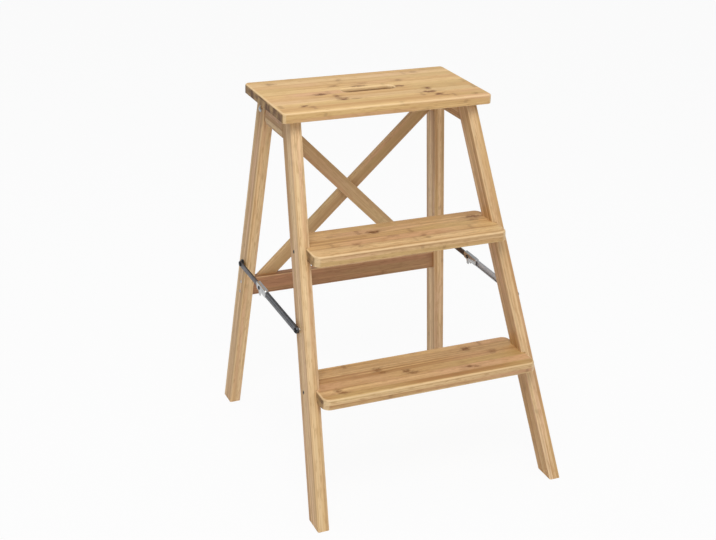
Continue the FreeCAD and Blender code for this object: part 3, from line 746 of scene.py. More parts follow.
def from_bmesh(name: str, shape: bmesh.types.BMesh) -> bpy.types.Object:
    """Turn a bmesh into an object with outward, smooth-shaded faces.

    Args:
        name: The new object's name.
        shape: The bmesh, which is freed.

    Returns:
        The object.
    """
    bmesh.ops.recalc_face_normals(shape, faces=shape.faces)
    shade_by_angle(shape)
    mesh = bpy.data.meshes.new(name)
    shape.to_mesh(mesh)
    shape.free()
    return new_object(name, mesh)


def shade_by_angle(shape: bmesh.types.BMesh) -> None:
    """Shade faces smooth, and keep the edges sharper than the limit crisp.

    Args:
        shape: The bmesh, whose faces and edges are marked.
    """
    for face in shape.faces:
        face.smooth = True
    for edge in shape.edges:
        edge.smooth = len(edge.link_faces) == 2 and edge.calc_face_angle(0.0) < SHARP_ANGLE


def evaluated(obj: bpy.types.Object) -> bpy.types.Object:
    """Replace an object's mesh with what its modifiers make of it, and drop the modifiers.

    Args:
        obj: The object.

    Returns:
        The same object, with a plain mesh.
    """
    graph = bpy.context.evaluated_depsgraph_get()
    mesh = bpy.data.meshes.new_from_object(obj.evaluated_get(graph), depsgraph=graph)
    obj.modifiers.clear()
    obj.data = mesh
    return obj


def joined(name: str, objects: list[bpy.types.Object]) -> bpy.types.Object:
    """Join several objects' meshes into one new object.

    Args:
        name: The new object's name.
        objects: The objects, which are removed.

    Returns:
        The joined object.
    """
    shape = bmesh.new()
    materials = []
    for obj in objects:
        start = len(shape.faces)
        shape.from_mesh(obj.data)
        shape.faces.ensure_lookup_table()
        for face in shape.faces[start:]:
            face.material_index += len(materials)
        materials += list(obj.data.materials)
        bpy.data.objects.remove(obj)
    mesh = bpy.data.meshes.new(name)
    shape.to_mesh(mesh)
    shape.free()
    for material in materials:
        mesh.materials.append(material)
    return new_object(name, mesh)


def plate(
    name: str, outline: list[tuple[float, float]], low: float, high: float, bevel: float
) -> bpy.types.Object:
    """A plate parallel to the stool's side, its rims bevelled.

    Args:
        name: The object's name.
        outline: The plate's outline in Y and Z.
        low: The X of one face.
        high: The X of the other face.
        bevel: How far the rims are rounded.

    Returns:
        The plate.
    """
    shape = bmesh.new()
    ring = [shape.verts.new((low, y, z)) for y, z in outline]
    face = shape.faces.new(ring)
    grown = bmesh.ops.extrude_face_region(shape, geom=[face])
    moved = [item for item in grown["geom"] if isinstance(item, bmesh.types.BMVert)]
    bmesh.ops.translate(shape, verts=moved, vec=(high - low, 0, 0))
    bmesh.ops.recalc_face_normals(shape, faces=shape.faces)
    if bevel:
        rims = [
            edge for edge in shape.edges
            if abs(edge.verts[0].co.x - edge.verts[1].co.x) < SAME_X
        ]
        bmesh.ops.bevel(
            shape, geom=rims, offset=bevel, segments=3, profile=0.5, affect="EDGES",
            clamp_overlap=True,
        )
    return from_bmesh(name, shape)


def capsule_outline(
    y_low: float, y_high: float, z: float, radius: float, round_low: bool, round_high: bool
) -> list[tuple[float, float]]:
    """An outline along Y with a round or a square end each way.

    Args:
        y_low: The lower end's centre, or the end itself where it is square.
        y_high: The upper end's centre, or the end itself where it is square.
        z: The outline's middle height.
        radius: Half the outline's height.
        round_low: Whether the lower end is round.
        round_high: Whether the upper end is round.

    Returns:
        The points in Y and Z, in order.
    """
    points = []
    steps = ROUND_STEPS // 2
    for centre, start, is_round in (
        (y_high, -math.pi / 2, round_high), (y_low, math.pi / 2, round_low)
    ):
        turns = range(steps + 1) if is_round else (0, steps)
        reach = radius if is_round else 0.0
        for i in turns:
            angle = start + math.pi * i / steps
            points.append((centre + reach * math.cos(angle), z + radius * math.sin(angle)))
    return points


def turned(
    name: str, profile: list[tuple[float, float]], base: Vector, axis: Vector
) -> bpy.types.Object:
    """A turned piece: a profile of (radius, height) spun about an axis.

    Args:
        name: The object's name.
        profile: Radii and heights, from the foot to the crown, ending on the axis.
        base: The foot's centre.
        axis: The direction of the heights.

    Returns:
        The turned piece.
    """
    shape = bmesh.new()
    rings = []
    for radius, height in profile:
        if radius < ON_AXIS:
            rings.append([shape.verts.new((0, 0, height))])
            continue
        rings.append([
            shape.verts.new((
                radius * math.cos(math.tau * i / ROUND_STEPS),
                radius * math.sin(math.tau * i / ROUND_STEPS), height,
            ))
            for i in range(ROUND_STEPS)
        ])
    for lower, upper in zip(rings, rings[1:]):
        for i in range(ROUND_STEPS):
            j = (i + 1) % ROUND_STEPS
            below = [lower[i % len(lower)], lower[j % len(lower)]]
            above = [upper[j % len(upper)], upper[i % len(upper)]]
            shape.faces.new(list(dict.fromkeys(below + above)))
    if len(rings[0]) > 1:
        shape.faces.new(list(reversed(rings[0])))
    turn = axis.to_track_quat("Z", "Y").to_matrix().to_4x4()
    bmesh.ops.transform(shape, matrix=Matrix.Translation(base) @ turn, verts=shape.verts)
    return from_bmesh(name, shape)


def dome(radius: float, height: float, rim: float = 0.25) -> list[tuple[float, float]]:
    """The profile of a domed head: a short upright rim and a round crown.

    Args:
        radius: The head's radius.
        height: The head's full height.
        rim: The share of the height that stands upright.

    Returns:
        Radii and heights.
    """
    foot, swell = DOME_FOOT
    profile = [(radius * foot, 0.0), (radius, height * swell), (radius, height * rim)]
    for i in range(1, DOME_STEPS + 1):
        angle = math.pi / 2 * i / DOME_STEPS
        profile.append((radius * math.cos(angle), height * (rim + (1 - rim) * math.sin(angle))))
    profile[-1] = (0.0, height)
    return profile


def cut(target: bpy.types.Object, tools: list[bpy.types.Object]) -> bpy.types.Object:
    """Cut tools out of a target, then remove them.

    Args:
        target: The object to cut.
        tools: The objects to cut with.

    Returns:
        The target with a plain mesh.
    """
    for tool in tools:
        modifier = target.modifiers.new("cut", "BOOLEAN")
        modifier.operation = "DIFFERENCE"
        modifier.solver = "EXACT"
        modifier.object = tool
    evaluated(target)
    for tool in tools:
        bpy.data.objects.remove(tool)
    shape = bmesh.new()
    shape.from_mesh(target.data)
    shade_by_angle(shape)
    shape.to_mesh(target.data)
    shape.free()
    return target


def cross_recess(base: Vector, axis: Vector, reach: float, depth: float) -> list[bpy.types.Object]:
    """Two tapered wedges that cut the cross recess of a screw.

    Args:
        base: The middle of the head's crown.
        axis: The direction out of the head.
        reach: Half the recess's width.
        depth: How deep it goes.

    Returns:
        The two tools.
    """
    tools = []
    for quarter in (0, 1):
        shape = bmesh.new()
        bmesh.ops.create_cube(shape, size=1.0)
        for vert in shape.verts:
            low = vert.co.z < 0
            long, wide = RECESS_FLOOR if low else RECESS_MOUTH
            vert.co.x *= reach * long
            vert.co.y *= reach * wide
            vert.co.z = -depth if low else depth * RECESS_RISE
        spin = Matrix.Rotation(quarter * math.pi / 2 + RECESS_SPIN, 4, "Z")
        turn = axis.to_track_quat("Z", "Y").to_matrix().to_4x4()
        bmesh.ops.transform(shape, matrix=Matrix.Translation(base) @ turn @ spin, verts=shape.verts)
        tools.append(from_bmesh("recess_tool", shape))
    return tools


def place(
    obj: bpy.types.Object, body: str, slot: Slot, material: bpy.types.Material | None,
    *nodes: str,
) -> None:
    """Give a finished piece its material, its body and the nodes it stands for.

    Args:
        obj: The piece, in place.
        body: The body it rides on.
        slot: The record's slot its finish comes from; not used.
        material: The material, or None where the mesh has its own.
        nodes: The frame's nodes that the piece replaces.
    """
    if material:
        obj.data.materials.clear()
        obj.data.materials.append(material)
    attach(obj, body)
    if nodes:
        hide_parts(*nodes)
    LOG.info("%s: %d faces on %s", obj.name, len(obj.data.polygons), body)


# Wooden pieces


@dataclass
class Timber:
    """A wooden piece of the frame, with the direction of its grain."""

    node: str
    body: Body
    material: bpy.types.Material
    grain: Vector
    across: Vector
    slot: Slot = Slot.BAMBOO
    offset: tuple[float, float, float] = (0.0, 0.0, 0.0)

    def axes(self) -> Matrix:
        """Work out the directions that the finish follows.

        Returns:
            The rows that turn a place into lengths along, across and through the grain.
        """
        along = self.grain.normalized()
        across = (self.across - along * self.across.dot(along)).normalized()
        return Matrix((along, across, along.cross(across)))

    def build(self, frame: dict) -> bpy.types.Object:
        """Merge the node's mesh, and write its grain, end and edge attributes.


        Returns:
            The dressed piece.
        """
        source = frame["nodes"][self.node]
        shape = bmesh.new()
        shape.from_mesh(source.data)
        bmesh.ops.transform(shape, matrix=source.matrix_world, verts=shape.verts)
        bmesh.ops.remove_doubles(shape, verts=shape.verts, dist=MERGE_DISTANCE)
        loose = [f for f in shape.faces if f.calc_area() < FACE_AREA_LIMIT]
        bmesh.ops.delete(shape, geom=loose, context="FACES_ONLY")
        bmesh.ops.remove_doubles(shape, verts=shape.verts, dist=MERGE_DISTANCE)
        obj = from_bmesh(f"{self.node}_bamboo", shape)
        self._write_attributes(obj.data)
        place(obj, self.body.value, self.slot, self.material, self.node)
        return obj

    def _write_attributes(self, mesh: bpy.types.Mesh) -> None:
        """Write the attributes that the bamboo finish reads.

        Args:
            mesh: The piece's mesh.
        """
        axes = np.array(self.axes())
        count = len(mesh.vertices)
        places = np.empty(count * 3)
        mesh.vertices.foreach_get("co", places)
        grain = places.reshape(-1, 3) @ axes.T + np.array(self.offset)
        attribute = mesh.attributes.new("grain", "FLOAT_VECTOR", "POINT")
        attribute.data.foreach_set("vector", grain.ravel())
        faces = len(mesh.polygons)
        normals = np.empty(faces * 3)
        mesh.polygons.foreach_get("normal", normals)
        lean = np.abs(normals.reshape(-1, 3) @ axes.T)
        end = np.clip((lean[:, 0] - END_LEAN) / END_LEAN_SPAN, 0.0, 1.0)
        # edge: faces that lean off the flat sides, which the finish paints lighter, partly as a
        # painted highlight on the rounded edges.
        edge = np.clip((FLAT_LEAN - lean.max(axis=1)) / EDGE_LEAN_SPAN, 0.0, 1.0) * (1 - end)
        for name, values in (("end", end), ("edge", edge), ("hollow", self._hollow(mesh))):
            attribute = mesh.attributes.new(name, "FLOAT", "FACE")
            attribute.data.foreach_set("value", values)

    def _hollow(self, mesh: bpy.types.Mesh) -> np.ndarray:
        """Find the hand slot's walls, which the finish paints with a highlight and a shade.

        Args:
            mesh: The piece's mesh.

        Returns:
            1 for each face inside the slot, and 0 for every other.
        """
        faces = len(mesh.polygons)
        centres = np.empty(faces * 3)
        mesh.polygons.foreach_get("center", centres)
        x, y, z = centres.reshape(-1, 3).T
        inside = (np.abs(x) < SLOT_HALF_LENGTH) & (np.abs(y - SLOT_Y) < SLOT_HALF_WIDTH)
        return (inside & (z < SLOT_RIM_Z)).astype(float)


@dataclass
class TimberFrame:
    """Every wooden piece, in the order it is built."""

    finishes: Finishes
    pieces: list[Timber] = field(default_factory=list)

    def __post_init__(self) -> None:
        """List the pieces with their grain."""
        seat, rear, looks = Body.SEAT, Body.REAR, self.finishes
        long, deep, up = Vector((1, 0, 0)), Vector((0, 1, 0)), Vector((0, 0, 1))
        raked_up = Vector((0, -REAR_RAKE, 1))
        add = self.pieces.append
        add(Timber("top_board", seat, looks.board, long, deep))
        add(Timber("middle_tread", seat, looks.middle_tread, long, deep))
        add(Timber("lower_tread", seat, looks.lower_tread, long, deep))
        add(Timber("rear_top_rail", rear, looks.rail, long, raked_up, offset=(2.0, 0.3, 0.0)))
        add(Timber("rear_lower_rail", rear, looks.rail, long, raked_up, offset=(3.1, 0.007, 0.1)))
        for node, lean, shift in (("front_slat", -1, 4.0), ("back_slat", 1, 5.0)):
            grain = Vector((lean, -REAR_RAKE, 1))
            add(Timber(node, rear, looks.slat, grain, deep.cross(grain), offset=(shift, 0, shift)))
        for side in Side:
            lean = -SPLAY * side.value
            shift = LEG_SHIFT + side.value
            name = side.label
            front = Vector((lean, FRONT_RAKE, 1))
            back = Vector((lean, -REAR_RAKE, 1))
            for part, body, grain, across, offset in (
                ("front_leg", seat, front, deep, (shift, 0.3, shift)),
                ("rear_leg", rear, back, deep, (-shift, 0.1, shift)),
                ("side_rail", seat, deep, up, (shift, shift, 0.2)),
            ):
                add(Timber(f"{name}_{part}", body, looks.leg, grain, across, offset=offset))
        add(Timber("board_dowels", seat, looks.dowel, up, deep, Slot.DOWEL))
        add(Timber("side_rail_dowels", seat, looks.dowel, deep, up, Slot.DOWEL))
        add(Timber("slat_dowels", rear, looks.dowel, up, deep, Slot.DOWEL))

    def build(self, frame: dict) -> None:
        """Build every piece."""
        for piece in self.pieces:
            piece.build(frame)


# The stays


@dataclass
class Stay:
    """The locking stay of one side: channel arm, knuckle, strap and their pins."""

    side: Side
    finishes: Finishes
    axis_z: float = 0.300
    front_y: float = -0.085
    knee_y: float = 0.100
    rear_y: float = 0.215
    inner_x: float = 0.2134
    channel_half: float = 0.006
    channel_depth: float = 0.005
    gauge: float = 0.0012
    channel_end_y: float = 0.078
    bead_radius: float = 0.0026
    strap_inner_x: float = 0.2143
    strap_gauge: float = 0.0024
    strap_half: float = 0.0057
    arm_rim: float = 0.0005
    screw_bore: float = 0.00205
    bore_length: float = 0.02
    bead_inset: float = 0.011
    bead_gap: float = 0.003
    bead_rise: float = 0.0007
    bead_root: float = 0.0002
    bead_least_width: float = 0.15
    bead_tapers: float = 14
    knuckle_front_y: float = 0.066
    knuckle_rear_y: float = 0.114
    knuckle_rim: float = 0.0006
    nose_cut: float = 0.002
    tail_cut: float = 0.004
    tail_round: float = 0.0012
    top_cut: float = 0.001
    open_below: float = 0.03
    ear: tuple[tuple[float, float], ...] = (
        (-0.0100, 0.0), (-0.0082, -0.0012), (-0.0074, -0.0060), (-0.0058, -0.0080),
        (-0.0008, -0.0080), (0.0006, -0.0064), (0.0016, -0.0012), (0.0030, 0.0),
    )
    pin_radius: float = 0.0025
    pin_head: tuple[float, float] = (0.00375, 0.0014)
    pin_tail: tuple[float, float] = (0.00375, 0.0010)
    collar_radius: float = 0.0040
    collar_height: float = 0.0006
    collar_foot: tuple[float, float] = (0.0038, 0.0001)
    rivet_head: tuple[float, float, float] = (0.0050, 0.0024, 0.35)

    @property
    def outer_x(self) -> float:
        """The outer face of the channel's web."""
        return self.inner_x + self.channel_depth

    def name(self, piece: str) -> str:
        """A piece's name on this side."""
        return f"{self.side.label}_{piece}"

    def finished(
        self, obj: bpy.types.Object, body: Body, slot: Slot,
        material: bpy.types.Material, node: str,
    ) -> None:
        """Mirror a right-hand piece where this is the left side, and place it.

        Args:
            obj: The piece, made for the right side.
            body: The body it rides on.
            slot: The record's slot.
            material: Its material.
            node: The frame's node it replaces, without the side.
        """
        if self.side is Side.LEFT:
            obj.data.transform(Matrix.Scale(-1, 4, (1, 0, 0)))
            obj.data.flip_normals()
        place(obj, body.of(self.side), slot, material, self.name(node))

    def build(self) -> None:
        """Build every piece of the stay."""
        looks = self.finishes
        # The right arm, seen from inside, takes the paler copy of the steel as a painted reflection
        # of the white surround.
        arm = looks.grey if self.side is Side.LEFT else looks.pale_grey
        steps = (
            (self.channel, Body.FRONT_ARM, Slot.DARK, arm, "stay_front_arm"),
            (self.knuckle, Body.FRONT_ARM, Slot.BRIGHT, looks.bright, "stay_knuckle"),
            (self.knee_pin, Body.FRONT_ARM, Slot.BLACK, looks.black, "stay_knee_pin"),
            (self.strap, Body.REAR_ARM, Slot.DARK, looks.dark, "stay_rear_arm"),
            (self.rear_rivet, Body.REAR_ARM, Slot.BLACK, looks.black, "stay_rear_rivet"),
        )
        for make, body, slot, material, node in steps:
            self.finished(make(), body, slot, material, node)

    def channel(self) -> bpy.types.Object:
        """The channel arm: folded flanges, a round nose and a bead along its web.

        Returns:
            The arm, made for the right side.
        """
        outline = capsule_outline(
            self.front_y, self.channel_end_y, self.axis_z, self.channel_half, True, False
        )
        arm = plate(self.name("channel"), outline, self.inner_x, self.outer_x, self.arm_rim)
        hollow = capsule_outline(
            self.front_y, self.channel_end_y + CUT_REACH, self.axis_z,
            self.channel_half - self.gauge, True, False,
        )
        tool = plate(
            "tool", hollow, self.inner_x - CUT_REACH, self.outer_x - self.gauge, 0.0
        )
        radius, length = self.screw_bore, self.bore_length
        bore = turned(
            "bore", [(radius, 0.0), (radius, length), (0.0, length)],
            Vector((self.inner_x - 2 * CUT_REACH, self.front_y, self.axis_z)),
            Vector((1, 0, 0)),
        )
        arm = cut(arm, [tool, bore])
        self.mark_inside(arm.data)
        return joined(self.name("stay_channel"), [arm, self.bead()])

    def mark_inside(self, mesh: bpy.types.Mesh) -> None:
        """Write which faces of the channel look inwards, so that they can be painted lighter as a
        painted reflection of the white surround.

        Args:
            mesh: The channel's mesh.
        """
        inner = mesh.attributes.new("inner", "FLOAT", "FACE")
        for i, face in enumerate(mesh.polygons):
            hidden = face.normal.x < INWARD and face.center.x < self.outer_x
            inner.data[i].value = float(hidden)

    def bead(self) -> bpy.types.Object:
        """The pressed bead: a long low ridge with tapered ends, standing on the web.

        Returns:
            The bead, made for the right side.
        """
        shape = bmesh.new()
        start = self.front_y + self.bead_inset
        end = self.knuckle_front_y - self.bead_gap
        across, along = 8, 30
        rows = []
        for i in range(along + 1):
            share = i / along
            taper = math.sqrt(min(1.0, min(share, 1 - share) * self.bead_tapers))
            row = []
            for j in range(across + 1):
                angle = math.pi * j / across
                rise = self.bead_rise * taper * math.sin(angle)
                half = self.bead_radius * max(taper, self.bead_least_width)
                z = self.axis_z - half * math.cos(angle)
                x = self.outer_x - self.bead_root + rise
                row.append(shape.verts.new((x, start + (end - start) * share, z)))
            rows.append(row)
        for low, high in zip(rows, rows[1:]):
            for j in range(across):
                shape.faces.new((low[j], low[j + 1], high[j + 1], high[j]))
            shape.faces.new((low[0], high[0], high[across], low[across]))
        shape.faces.new(rows[0])
        shape.faces.new(list(reversed(rows[-1])))
        return from_bmesh("bead", shape)

    def strap(self) -> bpy.types.Object:
        """The flat strap with round ends and a worn rim.

        Returns:
            The strap, made for the right side.
        """
        outline = capsule_outline(
            self.knee_y, self.rear_y, self.axis_z, self.strap_half, True, True
        )
        outer = self.strap_inner_x + self.strap_gauge
        return plate(
            self.name("stay_strap"), outline, self.strap_inner_x, outer, self.arm_rim
        )

    def knuckle(self) -> bpy.types.Object:
        """The knuckle: a saddle over both arms, closed on top, with a finger ear below.

        Returns:
            The knuckle, made for the right side.
        """
        half, z = self.channel_half, self.axis_z
        low = z - half
        front, rear = self.knuckle_front_y, self.knuckle_rear_y
        top = z + half + self.gauge
        outline = [
            (front, low + self.nose_cut), (front + self.nose_cut, low),
            *((self.knee_y + step, low + drop) for step, drop in self.ear),
            (rear - self.tail_cut, low), (rear - self.tail_round, low + self.tail_round),
            (rear, low + self.tail_cut),
            (rear, top - self.top_cut), (rear - self.top_cut, top),
            (front + self.top_cut, top), (front, top - self.top_cut),
        ]
        saddle = plate(
            self.name("stay_saddle"), outline,
            self.inner_x - self.gauge, self.outer_x + self.gauge, self.knuckle_rim,
        )
        open_z = z - self.open_below
        hollow = [
            (front - CUT_REACH, open_z), (rear + CUT_REACH, open_z),
            (rear + CUT_REACH, z + half), (front - CUT_REACH, z + half),
        ]
        return cut(saddle, [plate("tool", hollow, self.inner_x, self.outer_x, 0.0)])

    def knee_pin(self) -> bpy.types.Object:
        """The riveted knee pin with a dome outside and a low head inside.

        Returns:
            The pin, made for the right side.
        """
        inner = self.inner_x - self.gauge
        outer = self.outer_x + self.gauge
        centre = Vector((0, self.knee_y, self.axis_z))
        out = Vector((1, 0, 0))
        shank = turned(
            "shank",
            [(self.pin_radius, 0.0), (self.pin_radius, outer - inner), (0.0, outer - inner)],
            centre + out * inner, out,
        )
        head = turned("head", dome(*self.pin_head), centre + out * outer, out)
        tail = turned("tail", dome(*self.pin_tail), centre + out * inner, out * -1)
        return joined(self.name("stay_pin"), [shank, head, tail])

    def rear_rivet(self) -> bpy.types.Object:
        """The rivet at the strap's rear end, with a collar behind and a dome in front.

        Returns:
            The rivet, made for the right side.
        """
        outer = self.strap_inner_x + self.strap_gauge
        back = self.strap_inner_x - self.collar_height
        centre = Vector((0, self.rear_y, self.axis_z))
        out = Vector((1, 0, 0))
        foot_radius, foot_height = self.collar_foot
        profile = [
            (foot_radius, 0.0), (self.collar_radius, foot_height),
            (self.collar_radius, self.collar_height), (0.0, self.collar_height),
        ]
        collar = turned("collar", profile, centre + out * back, out)
        head = turned("head", dome(*self.rivet_head), centre + out * outer, out)
        return joined(self.name("stay_rivet"), [collar, head])


# Fixings


@dataclass
class ScrewSet:
    """Alike screws that Geometry Nodes puts in their places."""

    name: str
    node: str
    body: Body
    slot: Slot
    material: bpy.types.Material
    places: list[tuple[Vector, Vector]]
    radius: float = 0.0036
    height: float = 0.0011
    sunk: float = 0.0010
    recess_reach: float = 0.52
    recess_depth: float = 1.3
    seed: int = 7

    def template(self) -> bpy.types.Object:
        """One domed head with a cross recess, pointing along +Z from the origin.

        Returns:
            The head, which the places share.
        """
        full = dome(self.radius, self.sunk + self.height)
        profile = [(radius, height - self.sunk) for radius, height in full]
        up = Vector((0, 0, 1))
        head = turned("screw_head", profile, Vector(), up)
        crown = up * self.height
        reach, depth = self.radius * self.recess_reach, self.height * self.recess_depth
        return cut(head, cross_recess(crown, up, reach, depth))

    def build(self) -> None:
        """Instance the template on the places, and keep a plain mesh."""
        template = self.template()
        mesh = bpy.data.meshes.new(self.name)
        mesh.from_pydata([tuple(base) for base, _ in self.places], [], [])
        turns = mesh.attributes.new("turn", "FLOAT_VECTOR", "POINT")
        for i, (_, axis) in enumerate(self.places):
            turns.data[i].vector = tuple(axis.to_track_quat("Z", "Y").to_euler())
        obj = new_object(self.name, mesh)
        modifier = obj.modifiers.new("screws", "NODES")
        group = self.group()
        modifier.node_group = group
        sockets = {
            item.name: item.identifier for item in group.interface.items_tree
            if item.item_type == "SOCKET" and item.in_out == "INPUT"
        }
        modifier[sockets["Screw"]] = template
        modifier[sockets["Seed"]] = self.seed
        modifier[sockets["Finish"]] = self.material
        obj.update_tag()
        bpy.context.view_layer.update()
        evaluated(obj)
        bpy.data.objects.remove(template)
        place(obj, self.body.value, self.slot, None, self.node)

    def group(self) -> bpy.types.NodeTree:
        """Instances on points, each spun about its axis by a random turn.

        Returns:
            The Geometry Nodes group.
        """
        group = bpy.data.node_groups.new(f"{self.name}_places", "GeometryNodeTree")
        face = group.interface
        for label, kind in (
            ("Geometry", "NodeSocketGeometry"), ("Screw", "NodeSocketObject"),
            ("Seed", "NodeSocketInt"), ("Finish", "NodeSocketMaterial"),
        ):
            face.new_socket(label, in_out="INPUT", socket_type=kind)
        face.new_socket("Geometry", in_out="OUTPUT", socket_type="NodeSocketGeometry")
        nodes, links = group.nodes, group.links
        start = nodes.new("NodeGroupInput")
        end = nodes.new("NodeGroupOutput")
        info = nodes.new("GeometryNodeObjectInfo")
        turn = nodes.new("GeometryNodeInputNamedAttribute")
        turn.data_type = "FLOAT_VECTOR"
        turn.inputs["Name"].default_value = "turn"
        spin = nodes.new("FunctionNodeRandomValue")
        spin.inputs[RANDOM_MAX].default_value = math.tau
        combine = nodes.new("ShaderNodeCombineXYZ")
        rotate = nodes.new("GeometryNodeRotateInstances")
        instance = nodes.new("GeometryNodeInstanceOnPoints")
        real = nodes.new("GeometryNodeRealizeInstances")
        paint = nodes.new("GeometryNodeSetMaterial")
        wires = (
            (start.outputs["Screw"], info.inputs["Object"]),
            (start.outputs["Geometry"], instance.inputs["Points"]),
            (info.outputs["Geometry"], instance.inputs["Instance"]),
            (turn.outputs["Attribute"], instance.inputs["Rotation"]),
            (start.outputs["Seed"], spin.inputs["Seed"]),
            (spin.outputs[RANDOM_RESULT], combine.inputs["Z"]),
            (instance.outputs["Instances"], rotate.inputs["Instances"]),
            (combine.outputs[0], rotate.inputs["Rotation"]),
            (rotate.outputs["Instances"], real.inputs["Geometry"]),
            (real.outputs["Geometry"], paint.inputs["Geometry"]),
            (start.outputs["Finish"], paint.inputs["Material"]),
            (paint.outputs["Geometry"], end.inputs["Geometry"]),
        )
        for source, target in wires:
            links.new(source, target)
        return group


PROUD_HEAD = 0.0003


@dataclass
class Fixings:
    """The screws, among them those under the pivot brackets."""

    finishes: Finishes
    front_foot_y: float = -0.255
    rear_foot_y: float = 0.255
    front_depth: float = 0.04335
    rear_depth: float = 0.0381
    tread_screw_heights: tuple[float, ...] = (0.4200, 0.2025)
    tread_screw_offset: float = 0.0045
    rail_screw_heights: tuple[float, ...] = (0.2415, 0.2615)
    rail_middle: float = 0.017
    bracket_screw_x: float = 0.154
    bracket_screw_steps: tuple[float, ...] = (-0.006, 0.006)
    pivot_y: float = 0.194
    bracket_underside: float = 0.6295

    def outward(self, side: Side) -> Vector:
        """The direction square to a leg's outer face."""
        return Vector((side.value, 0, SPLAY)).normalized()

    def on_leg(self, side: Side, y: float, z: float) -> Vector:
        """A place on a leg's outer face."""
        return Vector((side.value * (HALF_WIDTH_TOP + (HEIGHT - z) * SPLAY), y, z))

    def leg_places(
        self, heights: tuple[float, ...], foot_y: float, rake: float, inset: float
    ) -> list[tuple[Vector, Vector]]:
        """Where the screws of a pair of legs sit, and which way they face.

        Args:
            heights: The screws' heights.
            foot_y: The Y of the leg's front or back face at the floor.
            rake: How far that face moves along Y for each metre up.
            inset: How far the screws sit from that face.

        Returns:
            Places and directions.
        """
        return [
            (self.on_leg(side, foot_y + z * rake + inset, z), self.outward(side))
            for side in Side for z in heights
        ]

    def bracket_places(self) -> list[tuple[Vector, Vector]]:
        """Where the bracket screws sit, under the flanges.

        Returns:
            Places and directions.
        """
        places = []
        for side in Side:
            for step in self.bracket_screw_steps:
                x, y = side.value * self.bracket_screw_x, self.pivot_y + step
                places.append((Vector((x, y, self.bracket_underside)), Vector((0, 0, -1))))
        return places

    def build(self) -> None:
        """Build the screws."""
        looks = self.finishes
        ScrewSet(
            "tread_screw_heads", "tread_screws", Body.SEAT, Slot.DARK, looks.black,
            self.leg_places(
                self.tread_screw_heights, self.front_foot_y, FRONT_RAKE,
                self.front_depth / 2 + self.tread_screw_offset,
            ),
            height=PROUD_HEAD,
        ).build()
        ScrewSet(
            "rail_screw_heads", "rear_rail_screws", Body.REAR, Slot.BRIGHT, looks.bright,
            self.leg_places(
                self.rail_screw_heights, self.rear_foot_y, -REAR_RAKE,
                self.rail_middle - self.rear_depth,
            ),
            height=PROUD_HEAD,
        ).build()
        ScrewSet(
            "bracket_screw_heads", "pivot_bracket_screws", Body.SEAT, Slot.BRIGHT, looks.bright,
            self.bracket_places(), height=0.0,
        ).build()


@dataclass
class Fittings:
    """Metal fittings that keep the frame's shapes under a merged, smooth-shaded mesh."""

    finishes: Finishes

    def build(self, frame: dict) -> None:
        """Dress each fitting.
        """
        looks = self.finishes
        fittings = [("slat_crossing_screw", Body.REAR, Slot.BRIGHT, looks.bright)]
        for side in Side:
            name = side.label
            fittings += [
                (f"{name}_pivot_bracket", Body.SEAT, Slot.BRIGHT, looks.bright),
                (f"{name}_pivot_bolt", Body.REAR, Slot.BRIGHT, looks.bright),
                (f"{name}_pivot_washer", Body.REAR, Slot.BRIGHT, looks.bright),
                (f"{name}_stay_rear_anchor", Body.REAR, Slot.BLACK, looks.black),
                (f"{name}_stay_front_screw", Body.SEAT, Slot.BLACK, looks.black),
                (f"{name}_stay_front_spacer", Body.SEAT, Slot.BRIGHT, looks.bright),
            ]
        for node, body, slot, material in fittings:
            self.dress(frame, node, body, slot, material)

    def dress(
        self, frame: dict, node: str, body: Body, slot: Slot, material: bpy.types.Material
    ) -> None:
        """Merge one node's mesh and place it.

        Args:
            node: The node.
            body: Its body.
            slot: The record's slot.
            material: Its material.
        """
        shape = bmesh.new()
        shape.from_mesh(frame["nodes"][node].data)
        bmesh.ops.transform(shape, matrix=frame["nodes"][node].matrix_world, verts=shape.verts)
        bmesh.ops.remove_doubles(shape, verts=shape.verts, dist=MERGE_DISTANCE)
        place(from_bmesh(f"{node}_dressed", shape), body.value, slot, material, node)


# The studio


LAMPS = (
    ("key", (-0.55, -0.95, 2.4), 1.2, 28.0),
    ("fill", (1.7, -2.0, 1.5), 2.0, 12.0),
    ("top", (-0.3, 0.9, 2.5), 1.8, 14.0),
)


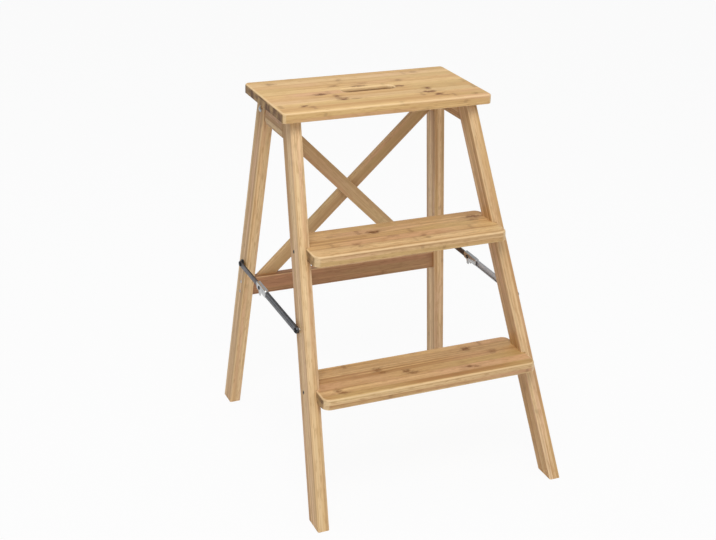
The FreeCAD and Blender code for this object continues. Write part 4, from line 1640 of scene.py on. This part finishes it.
@dataclass
class Studio:
    """A pale floor, a white surround, soft lights, and the photograph's camera."""

    place: Vector = field(default_factory=lambda: Vector((-0.93498, -1.92650, 1.29590)))
    yaw: float = math.radians(24.27)
    pitch: float = math.radians(-24.0)
    roll: float = math.radians(1.94)
    focal_px: float = 1286.9
    width_px: float = 716.0
    sensor: float = 36.0
    white: tuple[float, float, float, float] = (0.985, 0.985, 0.985, 1.0)
    paper: tuple[float, float, float, float] = (0.86, 0.86, 0.86, 1.0)
    paper_glow_share: float = 0.95
    ambient: tuple[float, float, float, float] = (0.95, 0.97, 1.0, 1.0)
    ambient_strength: float = 0.46
    lit_point: Vector = field(default_factory=lambda: Vector((0.0, 0.0, 0.35)))
    floor_half: float = 30.0

    def build(self) -> None:
        """Set up the camera, the lights and the floor."""
        self.camera()
        self.floor()
        self.world()
        for lamp in LAMPS:
            self.light(*lamp)
        bpy.context.scene.view_settings.view_transform = "Standard"

    def camera(self) -> None:
        """Put the camera where the photograph was taken from."""
        forward = Vector((
            math.sin(self.yaw) * math.cos(self.pitch), math.cos(self.yaw) * math.cos(self.pitch),
            math.sin(self.pitch),
        ))
        level = Vector((math.cos(self.yaw), -math.sin(self.yaw), 0))
        up = level.cross(forward)
        right = math.cos(self.roll) * level + math.sin(self.roll) * up
        top = math.cos(self.roll) * up - math.sin(self.roll) * level
        data = bpy.data.cameras.new("camera")
        data.sensor_width = self.sensor
        data.lens = self.focal_px / self.width_px * self.sensor
        camera = bpy.data.objects.new("camera", data)
        turn = Matrix((right, top, -forward)).transposed().to_4x4()
        camera.matrix_world = Matrix.Translation(self.place) @ turn
        bpy.context.scene.collection.objects.link(camera)
        bpy.context.scene.camera = camera

    def floor(self) -> None:
        """Lay a pale floor that reads white to the camera and takes a faint soft shadow."""
        shape = bmesh.new()
        bmesh.ops.create_grid(shape, x_segments=1, y_segments=1, size=self.floor_half)
        floor = from_bmesh("floor", shape)
        tree = Tree("floor_paper")
        diffuse = tree.node("ShaderNodeBsdfDiffuse", {"Color": self.paper})
        glow = tree.node("ShaderNodeEmission", {"Color": self.white, "Strength": 1.0})
        path = tree.node("ShaderNodeLightPath")
        seen = Expr(tree, path.outputs["Is Camera Ray"])
        mixed = tree.node(
            "ShaderNodeMixShader",
            {0: seen * self.paper_glow_share, 1: diffuse.outputs[0], 2: glow.outputs[0]},
        )
        tree.node("ShaderNodeOutputMaterial", {"Surface": mixed.outputs[0]})
        floor.data.materials.append(tree.material)

    def world(self) -> None:
        """Surround the scene with white, softer for the light than for the camera."""
        world = bpy.data.worlds.new("studio")
        bpy.context.scene.world = world
        world.use_nodes = True
        nodes, links = world.node_tree.nodes, world.node_tree.links
        nodes.clear()
        path = nodes.new("ShaderNodeLightPath")
        seen = nodes.new("ShaderNodeBackground")
        seen.inputs["Color"].default_value = self.white
        lit = nodes.new("ShaderNodeBackground")
        lit.inputs["Color"].default_value = self.ambient
        lit.inputs["Strength"].default_value = self.ambient_strength
        mixed = nodes.new("ShaderNodeMixShader")
        out = nodes.new("ShaderNodeOutputWorld")
        links.new(path.outputs["Is Camera Ray"], mixed.inputs[0])
        links.new(lit.outputs[0], mixed.inputs[1])
        links.new(seen.outputs[0], mixed.inputs[2])
        links.new(mixed.outputs[0], out.inputs[0])

    def light(self, name: str, at: tuple[float, float, float], size: float, power: float) -> None:
        """Add a square soft light that faces the stool.

        Args:
            name: The light's name.
            at: Where it stands.
            size: The length of its sides.
            power: Its power in watts.
        """
        data = bpy.data.lights.new(name, "AREA")
        data.size = size
        data.energy = power
        lamp = bpy.data.objects.new(name, data)
        lamp.location = at
        aim = self.lit_point - lamp.location
        lamp.rotation_euler = aim.to_track_quat("-Z", "Y").to_euler()
        bpy.context.scene.collection.objects.link(lamp)


def main() -> None:
    """Build the studio and every piece."""
    logging.basicConfig(level=logging.INFO, format="%(message)s")
    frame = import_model()
    Studio().build()
    finishes = Finishes()
    TimberFrame(finishes).build(frame)
    for side in Side:
        Stay(side, finishes).build()
    Fixings(finishes).build()
    Fittings(finishes).build(frame)


if __name__ == "__main__":
    main()
